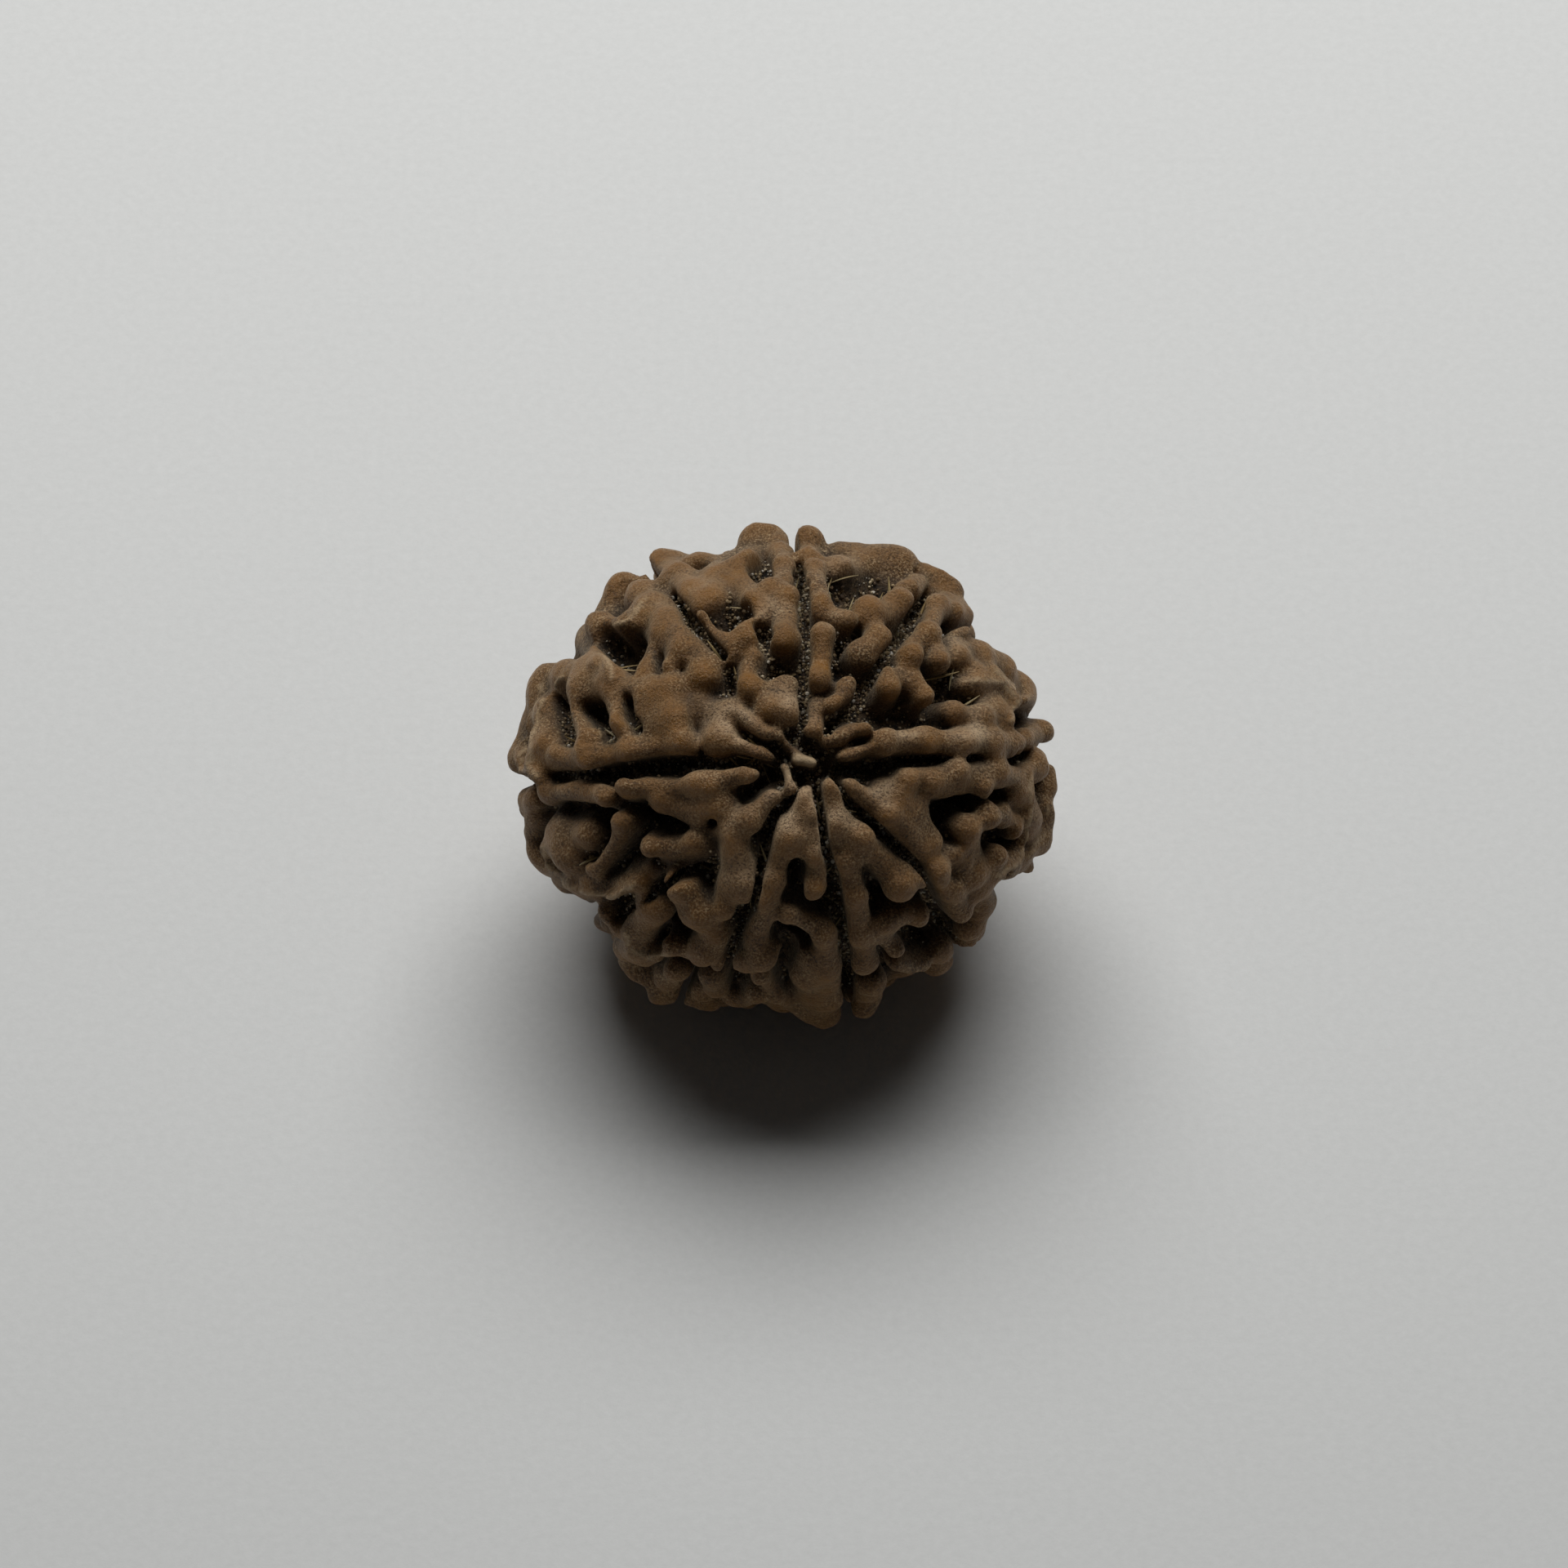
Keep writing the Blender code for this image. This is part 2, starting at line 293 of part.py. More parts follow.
# The nine grooves on the face that is seen: half-width, depth under the crests, and their centre lines.
GROOVES = (
    (0.26, 2.6, (
        (2.6, 0.45), (3.8, 0.35), (4.9, 0.6), (6.0, 0.75), (8.0, 0.8), (10.0, 0.9), (11.5, 0.75),
        (12.5, 1.3),
    )),
    (0.24, 2.3, (
        (2.0, 1.9), (2.5, 2.7), (3.4, 3.3), (4.0, 4.1), (4.6, 5.3), (5.4, 6.2), (5.8, 7.2), (6.5, 7.9),
        (7.0, 8.8), (7.45, 9.6), (7.8, 10.3),
    )),
    (0.25, 2.2, (
        (0.95, 2.4), (0.95, 3.4), (1.05, 5.0), (1.15, 7.0), (1.05, 8.4), (0.75, 9.8), (0.6, 10.8),
        (0.35, 11.8),
    )),
    (0.24, 2.2, ((-2.6, 5.3), (-3.4, 6.2), (-4.3, 7.3), (-5.0, 8.2), (-5.7, 9.1), (-6.6, 9.9))),
    (0.28, 1.5, ((-0.6, 0.4), (-1.8, 0.75), (-2.9, 0.6), (-4.2, 0.65))),
    (0.32, 2.8, ((-4.2, 0.65), (-5.4, 0.6), (-7.0, 0.4), (-8.5, 0.1), (-10.5, 0.1), (-12.4, -0.15))),
    (0.24, 2.4, ((-3.5, -4.2), (-4.6, -4.3), (-5.8, -5.2), (-7.2, -6.2), (-8.6, -6.4))),
    (0.24, 2.2, (
        (-0.3, -1.5), (-0.6, -2.4), (-0.9, -3.6), (-1.1, -4.8), (-1.3, -5.8), (-1.9, -6.7), (-2.4, -8.2),
        (-2.6, -8.7),
    )),
    (0.26, 2.2, (
        (1.6, -0.8), (1.8, -2.0), (1.95, -3.2), (2.35, -4.3), (2.55, -5.3), (2.75, -6.5), (2.95, -8.0),
        (3.1, -9.3), (3.4, -10.4), (3.3, -11.8),
    )),
    (0.27, 2.3, (
        (3.0, -1.2), (4.0, -2.0), (5.0, -2.9), (6.0, -3.8), (6.6, -4.8), (7.1, -5.8), (7.8, -7.2),
        (8.7, -7.9), (9.0, -8.9),
    )),
)

# Out of sight the same pattern runs on by rule: a broken rim along each side of a groove.
# Angles are in degrees, from the axis or round it.
RIM_OFFSET = 1.1
RIM_OFFSET_SPREAD = (-0.1, 0.15)
RIM_LEAST_RADIUS = 2.2
RIM_WIDTHS = (0.6, 0.8)
RIM_START = (78.0, 90.0)
RIM_END = 166.0
RIM_STEP = 5.2
RIM_RUN_STEPS = 4
RIM_GAPS = (0.5, 3.0)

# Hidden grooves run from beside the widest part almost to the lower pole.
HIDDEN_GROOVE_WIDTH = 0.24
HIDDEN_GROOVE_DEPTH = 2.0
HIDDEN_GROOVE_START = 80.0
HIDDEN_GROOVE_END = 173.0
HIDDEN_GROOVE_STEP = 6.0

# Worms fill the rest: large ones first, then small ones in what room is left.
WORM_WIDTHS = ((0.65, 1.05), (0.4, 0.6))
WORM_STEP = 0.9
WORM_MOST_STEPS = 4
WORM_TURN = 0.7
WORM_TAPER = (0.8, 1.0)
WORM_TRIES = 8000
WORM_SPACING = 0.98
GROOVE_CLEARANCE = 0.85
HIDDEN_BELOW = 2.2

# A hidden ridge that would show past the outline is moved towards the centre in small steps.
OUTLINE_SLACK = 0.1
DRAW_IN_STEPS = 12
DRAW_IN_SHARE = 0.98

# The blunt knob that the bead rests on, under its centre: half-width, half-length and how much is worn flat.
FOOT_WIDTH = 1.3
FOOT_REACH = 0.8
FOOT_WORN = 0.4

KERNEL_BROWN = (0.33, 0.225, 0.14, 1.0)
KERNEL_ROUGHNESS = 0.6


def unit(vector):
    return vector / np.linalg.norm(vector)


def outward(point):
    """The crest ellipsoid's outward direction at a point."""
    return unit(point / CREST**2)


def raised(x, y, height):
    """The point over (x, y) on the ellipsoid that lies this far over the crests, or at its widest."""
    half = CREST + height
    inside = 1.0 - (x / half[0]) ** 2 - (y / half[1]) ** 2
    return np.array((x, y, half[2] * math.sqrt(max(inside, 0.0))))


def polar_frame():
    """The bead's own axis, and two directions across it, in the plan frame."""
    axis = unit(raised(POLE[0], POLE[1], 0.0))
    east = unit(np.array((1.0, 0.0, 0.0)) - axis[0] * axis)
    return axis, east, np.cross(axis, east)


def on_bead(azimuth, polar, height):
    """The point at these angles from the bead's axis, this far over the crests."""
    axis, east, north = polar_frame()
    across = math.cos(azimuth) * east + math.sin(azimuth) * north
    direction = math.cos(polar) * axis + math.sin(polar) * across
    return direction / np.linalg.norm(direction / (CREST + height))


def cap_height(half_width):
    return min(half_width, CAP_MOST)


class Stroke:
    """A line of 3D points with a half-width at each."""

    def __init__(self, points, widths):
        self.points = [np.asarray(point, float) for point in points]
        self.widths = list(widths)


def pole_dip(x, y):
    away = math.hypot(x - POLE[0], y - POLE[1])
    return POLE_DIP * math.exp(-((away / POLE_DIP_RADIUS) ** 2))


def traced_ridge(start_width, end_width, lift, plan):
    widths = np.linspace(start_width, end_width, len(plan))
    points = []
    for (x, y), width in zip(plan, widths):
        points.append(raised(x, y, lift - pole_dip(x, y) - cap_height(width)))
    return Stroke(points, widths)


def traced_cut(half_width, depth, plan):
    """The line along which a round-bottomed slot of this depth ends.

    Past the widest part of the bottom's own ellipsoid it is drawn in, so that the slot keeps its floor."""
    half = CREST + half_width - depth
    points = []
    for x, y in plan:
        past = max(math.hypot(x / half[0], y / half[1]), 1.0)
        points.append(raised(x / past, y / past, half_width - depth))
    return Stroke(points, [half_width] * len(plan))


def inside_outline(points):
    """How far each point lies inside the outline, seen along z, below zero outside it."""
    ends = np.array(OUTLINE)
    starts = np.roll(ends, 1, axis=0)
    runs = ends - starts
    plan = np.array(points)[:, None, :2]
    along = np.clip(((plan - starts) * runs).sum(axis=2) / (runs * runs).sum(axis=1), 0.0, 1.0)
    nearest = np.linalg.norm(plan - starts - along[..., None] * runs, axis=2).min(axis=1)
    above = (starts[:, 1] > plan[..., 1]) != (ends[:, 1] > plan[..., 1])
    rise = np.where(runs[:, 1] == 0.0, 1.0, runs[:, 1])
    crossing = starts[:, 0] + (plan[..., 1] - starts[:, 1]) * runs[:, 0] / rise
    inside = (above & (plan[..., 0] < crossing)).sum(axis=1) % 2 == 1
    return np.where(inside, nearest, -nearest)


def drawn_in(stroke):
    """The stroke with each point that would show past the outline moved towards the bead's centre."""
    points = np.array(stroke.points)
    for _ in range(DRAW_IN_STEPS):
        out = inside_outline(points) < np.array(stroke.widths) - OUTLINE_SLACK
        points[out] *= DRAW_IN_SHARE
    return Stroke(points, stroke.widths)


def rim_ridges(rng):
    """Broken rims along both sides of each groove, from the widest part to the lower pole."""
    ridges = []
    for azimuth, side in itertools.product(MUKHI_AZIMUTHS, (-1, 1)):
        polar = rng.uniform(*RIM_START)
        while polar < RIM_END:
            width = rng.uniform(*RIM_WIDTHS)
            points = []
            for _ in range(RIM_RUN_STEPS):
                radius = max(math.sin(math.radians(polar)) * CREST[0], RIM_LEAST_RADIUS)
                offset = side * (RIM_OFFSET + rng.uniform(*RIM_OFFSET_SPREAD)) / radius
                points.append(on_bead(math.radians(azimuth) + offset, math.radians(polar), -width))
                polar += RIM_STEP
            ridges.append(drawn_in(Stroke(points, [width] * len(points))))
            polar += rng.uniform(*RIM_GAPS)
    return ridges


def worm(rng, width):
    """A short wandering ridge that starts anywhere on the bead."""
    start = unit(rng.normal(size=3))
    heading = unit(np.cross(start, rng.normal(size=3)))
    points = []
    for _ in range(int(rng.integers(1, WORM_MOST_STEPS + 1)) + 1):
        points.append(start / np.linalg.norm(start / (CREST - cap_height(width))))
        start = unit(start + heading * WORM_STEP / CREST[1])
        heading = unit(heading - start.dot(heading) * start)
        turn = rng.uniform(-WORM_TURN, WORM_TURN)
        heading = unit(math.cos(turn) * heading + math.sin(turn) * np.cross(start, heading))
    taper = rng.uniform(*WORM_TAPER)
    return Stroke(points, np.linspace(width, width * taper, len(points)))


def groove_distance(points):
    """How far the nearest of the nine grooves passes from any of these points."""
    axis, east, north = polar_frame()
    nearest = math.inf
    for point in points:
        direction = unit(point)
        azimuth = math.atan2(direction.dot(north), direction.dot(east))
        radius = math.hypot(point.dot(north), point.dot(east))
        for line in MUKHI_AZIMUTHS:
            turn = math.remainder(azimuth - math.radians(line), math.tau)
            nearest = min(nearest, abs(turn) * radius)
    return nearest


def worm_ridges(rng, ridges):
    """Worms that fill the hidden side between the ridges already there, without touching them."""
    centres = np.concatenate([ridge.points for ridge in ridges])
    widths = np.concatenate([ridge.widths for ridge in ridges])
    worms = []
    for turn in range(WORM_TRIES * len(WORM_WIDTHS)):
        candidate = worm(rng, rng.uniform(*WORM_WIDTHS[turn // WORM_TRIES]))
        if max(point[2] for point in candidate.points) > HIDDEN_BELOW:
            continue
        candidate = drawn_in(candidate)
        points = np.array(candidate.points)
        gaps = np.linalg.norm(points[:, None] - centres[None], axis=2)
        room = WORM_SPACING * (np.array(candidate.widths)[:, None] + widths[None])
        if (gaps < room).any() or groove_distance(candidate.points) < GROOVE_CLEARANCE:
            continue
        worms.append(candidate)
        centres = np.concatenate((centres, points))
        widths = np.concatenate((widths, candidate.widths))
    return worms


def hidden_grooves():
    """The nine grooves where they run on round the bead to the lower pole."""
    grooves = []
    polars = np.radians(np.arange(HIDDEN_GROOVE_START, HIDDEN_GROOVE_END, HIDDEN_GROOVE_STEP))
    for azimuth in MUKHI_AZIMUTHS:
        points = [on_bead(math.radians(azimuth), polar, -HIDDEN_GROOVE_DEPTH) for polar in polars]
        grooves.append(Stroke(points, [HIDDEN_GROOVE_WIDTH] * len(points)))
    return grooves


def grid_axes(step):
    return [np.arange(-half - GRID_MARGIN, half + GRID_MARGIN, step, np.float32) for half in CREST]


def near_stroke(axes, stroke, reach):
    """Part of the grid round a stroke, and there the side distance, height and half-width from its line."""
    low = np.min(stroke.points, axis=0) - reach
    high = np.max(stroke.points, axis=0) + reach
    slices = tuple(slice(*np.searchsorted(axis, (a, b))) for axis, a, b in zip(axes, low, high))
    x, y, z = np.meshgrid(*(axis[part] for axis, part in zip(axes, slices)), indexing="ij")
    found = []
    points = stroke.points
    for i in range(len(points) - 1):
        start, run = points[i], points[i + 1] - points[i]
        along = ((x - start[0]) * run[0] + (y - start[1]) * run[1] + (z - start[2]) * run[2]) / run.dot(run)
        along = np.clip(along, 0.0, 1.0).astype(np.float32)
        up, turn = outward(start), outward(points[i + 1]) - outward(start)
        away = [place - start[axis] - along * run[axis] for axis, place in enumerate((x, y, z))]
        height = sum(offset * (up[axis] + along * turn[axis]) for axis, offset in enumerate(away))
        side = np.sqrt(np.maximum(sum(offset * offset for offset in away) - height * height, 0.0))
        width = stroke.widths[i] + along * (stroke.widths[i + 1] - stroke.widths[i])
        found.append((side, height, width))
    return slices, found


def soft_min(first, second, rounding):
    """The lower of two fields, with the crease between them rounded."""
    share = np.clip(0.5 + 0.5 * (second - first) / rounding, 0.0, 1.0)
    return second + (first - second) * share - rounding * share * (1.0 - share)


def add_ridge(field, axes, ridge):
    """A rounded crest on walls that reach down to the floor."""
    slices, found = near_stroke(axes, ridge, WALL_DEPTH + ROUNDING)
    shape = np.inf
    for side, height, width in found:
        cap = np.minimum(width, CAP_MOST)
        crest = (np.hypot(side / width, height / cap) - 1.0) * cap
        wall = np.maximum(side - width * (1.0 - WALL_FLARE * height), -height - WALL_DEPTH)
        shape = np.minimum(shape, np.where(height > 0, crest, wall))
    field[slices] = soft_min(field[slices], shape, ROUNDING)


def cut_slot(field, axes, cut, rounding):
    """A slot that is open outwards, with a round bottom along the stroke.

    It is at least one grid step wide on each side, so that its edges come out whole."""
    slices, found = near_stroke(axes, cut, SLOT_REACH)
    least = axes[0][1] - axes[0][0]
    shape = np.inf
    for side, height, width in found:
        shape = np.minimum(shape, np.hypot(side, np.minimum(height, 0.0)) - np.maximum(width, least))
    field[slices] = -soft_min(-field[slices], shape, rounding)


def floor_field(axes):
    """Distance to the rounded body that the ridges stand on, below zero inside it."""
    x, y, z = np.meshgrid(*axes, indexing="ij")
    half = CREST - FLOOR_DEPTH
    scaled = np.sqrt((x / half[0]) ** 2 + (y / half[1]) ** 2 + (z / half[2]) ** 2)
    slope = np.sqrt((x / half[0] ** 2) ** 2 + (y / half[1] ** 2) ** 2 + (z / half[2] ** 2) ** 2)
    return ((scaled - 1.0) * scaled / np.maximum(slope, 1e-3)).astype(np.float32)


def foot_ridge():
    """The knob under the bead's centre, which the resting plane cuts flat."""
    below = rest_height() + FOOT_WIDTH - FOOT_WORN
    y, z = below * math.sin(LEAN), below * math.cos(LEAN)
    return Stroke([(-FOOT_REACH, y, z), (FOOT_REACH, y, z)], [FOOT_WIDTH, FOOT_WIDTH])


def softened(field):
    """The field averaged a little with its neighbours, which rounds the sharpest creases."""
    for axis in range(3):
        field = 0.5 * field + 0.25 * (np.roll(field, 1, axis) + np.roll(field, -1, axis))
    return field


def rest_height():
    """The height of the plane that the bead rests on, over the centre of the plan frame."""
    down = np.array((0.0, -math.sin(LEAN), -math.cos(LEAN)))
    return -np.linalg.norm(CREST * down) + FLAT_CUT


def bead_field(step):
    """A field over the whole bead that is below zero inside it."""
    rng = np.random.default_rng(SEED)
    axes = grid_axes(step)
    field = floor_field(axes)
    for half_width, depth, plan in HOLLOWS:
        cut_slot(field, axes, traced_cut(half_width, depth, plan), ROUNDING)
    ridges = [traced_ridge(*ridge) for ridge in WEBS + RIDGES]
    ridges.append(foot_ridge())
    ridges += rim_ridges(rng)
    ridges += worm_ridges(rng, ridges)
    for ridge in ridges:
        add_ridge(field, axes, ridge)
    for half_width, depth, plan in PITS:
        cut_slot(field, axes, traced_cut(half_width, depth, plan), PIT_ROUNDING)
    for half_width, depth, plan in GROOVES:
        cut_slot(field, axes, traced_cut(half_width, depth, plan), SLOT_ROUNDING)
    for groove in hidden_grooves():
        cut_slot(field, axes, groove, SLOT_ROUNDING)
    for stub in POLE_STUBS:
        add_ridge(field, axes, traced_ridge(*stub))
    height = axes[1][None, :, None] * math.sin(LEAN) + axes[2][None, None, :] * math.cos(LEAN)
    return np.maximum(softened(field), rest_height() - height), axes


def crossing_table():
    """For each set of inside corners of a tetrahedron, the faces to make, as pairs of corners."""
    table = {}
    for order in itertools.permutations(range(4)):
        swaps = sum(order[i] > order[j] for i, j in itertools.combinations(range(4), 2))
        if swaps % 2:
            continue
        a, b, c, d = order
        table[1 << a] = [((a, b), (a, c), (a, d))]
        table[15 - (1 << a)] = [((a, b), (a, d), (a, c))]
        table[(1 << a) | (1 << b)] = [((a, c), (a, d), (b, d)), ((a, c), (b, d), (b, c))]
    return table


def surface(field, axes):
    """The zero surface of the field as points and triangles, closed and with its faces outwards.

    Each grid cell is split into six tetrahedra, which leave no doubt about how the surface runs."""
    shape = np.array(field.shape)
    strides = np.array((shape[1] * shape[2], shape[2], 1))
    corner_offsets = np.array([[(bits >> axis) & 1 for axis in range(3)] for bits in range(8)])
    inside = field < 0
    count = sum(
        inside[ox : shape[0] - 1 + ox, oy : shape[1] - 1 + oy, oz : shape[2] - 1 + oz].astype(np.int8)
        for ox, oy, oz in corner_offsets
    )
    cells = np.argwhere((count > 0) & (count < 8)) @ strides
    flat = inside.reshape(-1)
    corner_steps = corner_offsets @ strides
    table = crossing_table()
    keys = []
    for order in itertools.permutations(range(3)):
        corners = [0, 1 << order[0], (1 << order[0]) | (1 << order[1]), 7]
        turned = sum(order[i] > order[j] for i, j in itertools.combinations(range(3), 2)) % 2
        if turned:
            corners[1], corners[2] = corners[2], corners[1]
        mask = sum(flat[cells + corner_steps[corner]].astype(int) << i for i, corner in enumerate(corners))
        for found, faces in table.items():
            chosen = cells[mask == found]
            for face in faces:
                ends = [sorted((corners[i], corners[j])) for i, j in face]
                keys.append(np.stack([(chosen + corner_steps[a]) * 8 + (b - a) for a, b in ends], axis=1))
    keys = np.concatenate(keys)
    edges, triangles = np.unique(keys, return_inverse=True)
    start = edges // 8
    end = start + corner_steps[edges % 8]
    values = field.reshape(-1)
    share = values[start] / (values[start] - values[end])
    low = np.stack(np.unravel_index(start, field.shape), axis=1)
    high = np.stack(np.unravel_index(end, field.shape), axis=1)
    cell_points = low + (high - low) * share[:, None]
    step = axes[0][1] - axes[0][0]
    origin = np.array([axis[0] for axis in axes])
    return origin + cell_points * step, triangles.reshape(-1, 3)


def outer_shell(points, triangles):
    """The largest connected surface alone: a hollow sealed off inside is filled, and a scrap is dropped."""
    labels = np.arange(len(points))
    while True:
        lowest = labels[triangles].min(axis=1)
        spread = labels.copy()
        for corner in range(3):
            np.minimum.at(spread, triangles[:, corner], lowest)
        spread = spread[spread]
        if (spread == labels).all():
            break
        labels = spread
    shells = labels[triangles[:, 0]]
    names, sizes = np.unique(shells, return_counts=True)
    used, kept = np.unique(triangles[shells == names[sizes.argmax()]], return_inverse=True)
    return points[used], kept.reshape(-1, 3)


def as_it_rests(points):
    """Plan points in millimetres turned and set down on z = 0, in metres."""
    c, s = math.cos(LEAN), math.sin(LEAN)
    x, y, z = points.T
    return np.stack((x, y * c - z * s, y * s + z * c - rest_height()), axis=1) * MM


def mesh_of(name, points, triangles):
    mesh = bpy.data.meshes.new(name)
    mesh.from_pydata(points.tolist(), [], triangles.tolist())
    mesh.validate()
    return mesh


def thinned(obj, most):
    """Replaces the object's mesh by one with no more than this many triangles."""
    modifier = obj.modifiers.new("Thin", "DECIMATE")
    modifier.ratio = most / len(obj.data.polygons)
    graph = bpy.context.evaluated_depsgraph_get()
    mesh = bpy.data.meshes.new_from_object(obj.evaluated_get(graph))
    obj.modifiers.clear()
    obj.data = mesh


def settle(mesh):
    """Puts what lies close to the resting plane on it, and centres the box over the origin."""
    points = np.empty(len(mesh.vertices) * 3)
    mesh.vertices.foreach_get("co", points)
    points = points.reshape(-1, 3)
    points[points[:, 2] < FLAT_SNAP * MM, 2] = 0.0
    middle = (points.min(axis=0) + points.max(axis=0)) / 2
    points[:, :2] -= middle[:2]
    mesh.vertices.foreach_set("co", points.reshape(-1))
    mesh.update()


def kernel_material():
    material = bpy.data.materials.new("dried_kernel")
    material.use_nodes = True
    shader = material.node_tree.nodes["Principled BSDF"]
    shader.inputs["Base Color"].default_value = KERNEL_BROWN
    shader.inputs["Roughness"].default_value = KERNEL_ROUGHNESS
    shader.inputs["Metallic"].default_value = 0.0
    return material


def clear_scene():
    for obj in list(bpy.data.objects):
        bpy.data.objects.remove(obj)


def main():
    clear_scene()
    field, axes = bead_field(GRID_STEP)
    points, triangles = outer_shell(*surface(field, axes))
    bead = bpy.data.objects.new("bead", mesh_of("bead", as_it_rests(points), triangles))
    bpy.context.scene.collection.objects.link(bead)
    thinned(bead, MOST_TRIANGLES)
    settle(bead.data)
    bead.data.materials.append(kernel_material())
    bead.data.shade_smooth()


if __name__ == "__main__":
    main()
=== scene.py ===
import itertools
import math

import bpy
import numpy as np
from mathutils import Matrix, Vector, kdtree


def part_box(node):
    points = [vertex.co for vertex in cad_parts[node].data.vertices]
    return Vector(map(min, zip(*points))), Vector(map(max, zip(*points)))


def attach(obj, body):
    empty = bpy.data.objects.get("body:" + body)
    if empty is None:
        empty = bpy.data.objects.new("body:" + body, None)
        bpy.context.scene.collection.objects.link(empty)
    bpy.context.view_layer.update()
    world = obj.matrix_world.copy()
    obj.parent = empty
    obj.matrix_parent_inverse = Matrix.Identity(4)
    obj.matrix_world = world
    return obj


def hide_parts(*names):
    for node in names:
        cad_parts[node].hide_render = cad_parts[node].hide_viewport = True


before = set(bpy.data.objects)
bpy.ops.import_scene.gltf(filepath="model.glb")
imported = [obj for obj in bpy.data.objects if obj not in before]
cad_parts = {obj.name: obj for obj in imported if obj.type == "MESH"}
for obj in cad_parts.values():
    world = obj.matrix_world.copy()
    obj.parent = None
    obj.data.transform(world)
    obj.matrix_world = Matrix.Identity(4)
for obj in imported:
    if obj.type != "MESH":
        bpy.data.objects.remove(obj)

# Rudraksha bead: the look of a dried fruit stone, with worm-like ridges, worn amber knobs, dark crevices
# with loose grains, and a few straw fibres.
# Shapes are worked out in a plan frame, in millimetres: x to the right and y up on the face that is seen,
# z out of that face. They are then turned about X to lie as the bead rests.

MM = 0.001
SEED = 9

# The ridge crests touch an ellipsoid with these half sizes, and the floor between them lies deeper.
CREST = np.array((13.6, 12.1, 11.5))
FLOOR_DEPTH = 2.4
CAP_MOST = 1.2
WALL_DEPTH = 3.2
WALL_FLARE = 0.22
ROUNDING = 0.5
SLOT_ROUNDING = 0.15
PIT_ROUNDING = 0.4
SLOT_REACH = 4.2
LEAN = math.radians(36.0)
FLAT_CUT = 0.55
POLE = (1.13, 0.80)

# The surface is sampled on a grid of this pitch, then thinned to this many triangles.
GRID_STEP = 0.16
GRID_MARGIN = 1.2
LEAST_SLOPE = 1e-3
MOST_TRIANGLES = 190000

# What lies this close to the resting plane is part of the flat that the bead rests on.
FLAT_SNAP = 0.08

# Azimuths of the nine grooves round the pole, in degrees from +x.
MUKHI_AZIMUTHS = (5, 56, 88, 124, 181, 215, 245, 286, 316)

# The bead's outline in the plan frame, clockwise from the notch of the north-west groove.
OUTLINE = (
    (-6.55, 9.65), (-6.9, 11.0), (-6.5, 11.35), (-4.7, 11.5), (-3.6, 11.1), (-2.6, 11.3), (-2.0, 11.1),
    (-1.9, 11.9), (-0.9, 12.65), (-0.25, 12.55), (0.3, 11.6), (0.95, 12.75), (1.5, 12.4), (2.15, 11.1),
    (4.2, 11.5), (6.0, 11.4), (6.8, 11.1), (6.9, 10.5), (8.4, 10.0), (9.25, 9.0), (9.2, 8.0), (9.7, 7.4),
    (9.5, 7.0), (11.2, 6.1), (11.8, 5.6), (12.9, 4.0), (12.3, 2.9), (13.4, 2.5), (12.9, 1.2), (13.7, 0.3),
    (13.9, -0.5), (13.85, -2.0), (13.4, -4.0), (12.5, -4.7), (10.6, -5.2), (10.7, -6.6), (10.3, -7.5),
    (9.3, -8.8), (8.7, -9.7), (8.0, -9.9), (5.4, -10.5), (5.3, -11.4), (3.9, -12.3), (3.3, -11.6),
    (2.6, -12.7), (1.0, -11.9), (-2.0, -11.6), (-4.6, -12.0), (-5.9, -11.2), (-7.7, -10.1), (-8.6, -8.7),
    (-9.5, -7.2), (-9.3, -6.4), (-11.5, -5.6), (-12.3, -4.6), (-13.1, -2.3), (-13.4, -1.1), (-12.5, -0.25),
    (-13.9, 0.7), (-13.7, 3.0), (-12.9, 5.1), (-11.3, 6.1), (-9.8, 6.45), (-9.5, 8.6), (-8.0, 10.1),
)

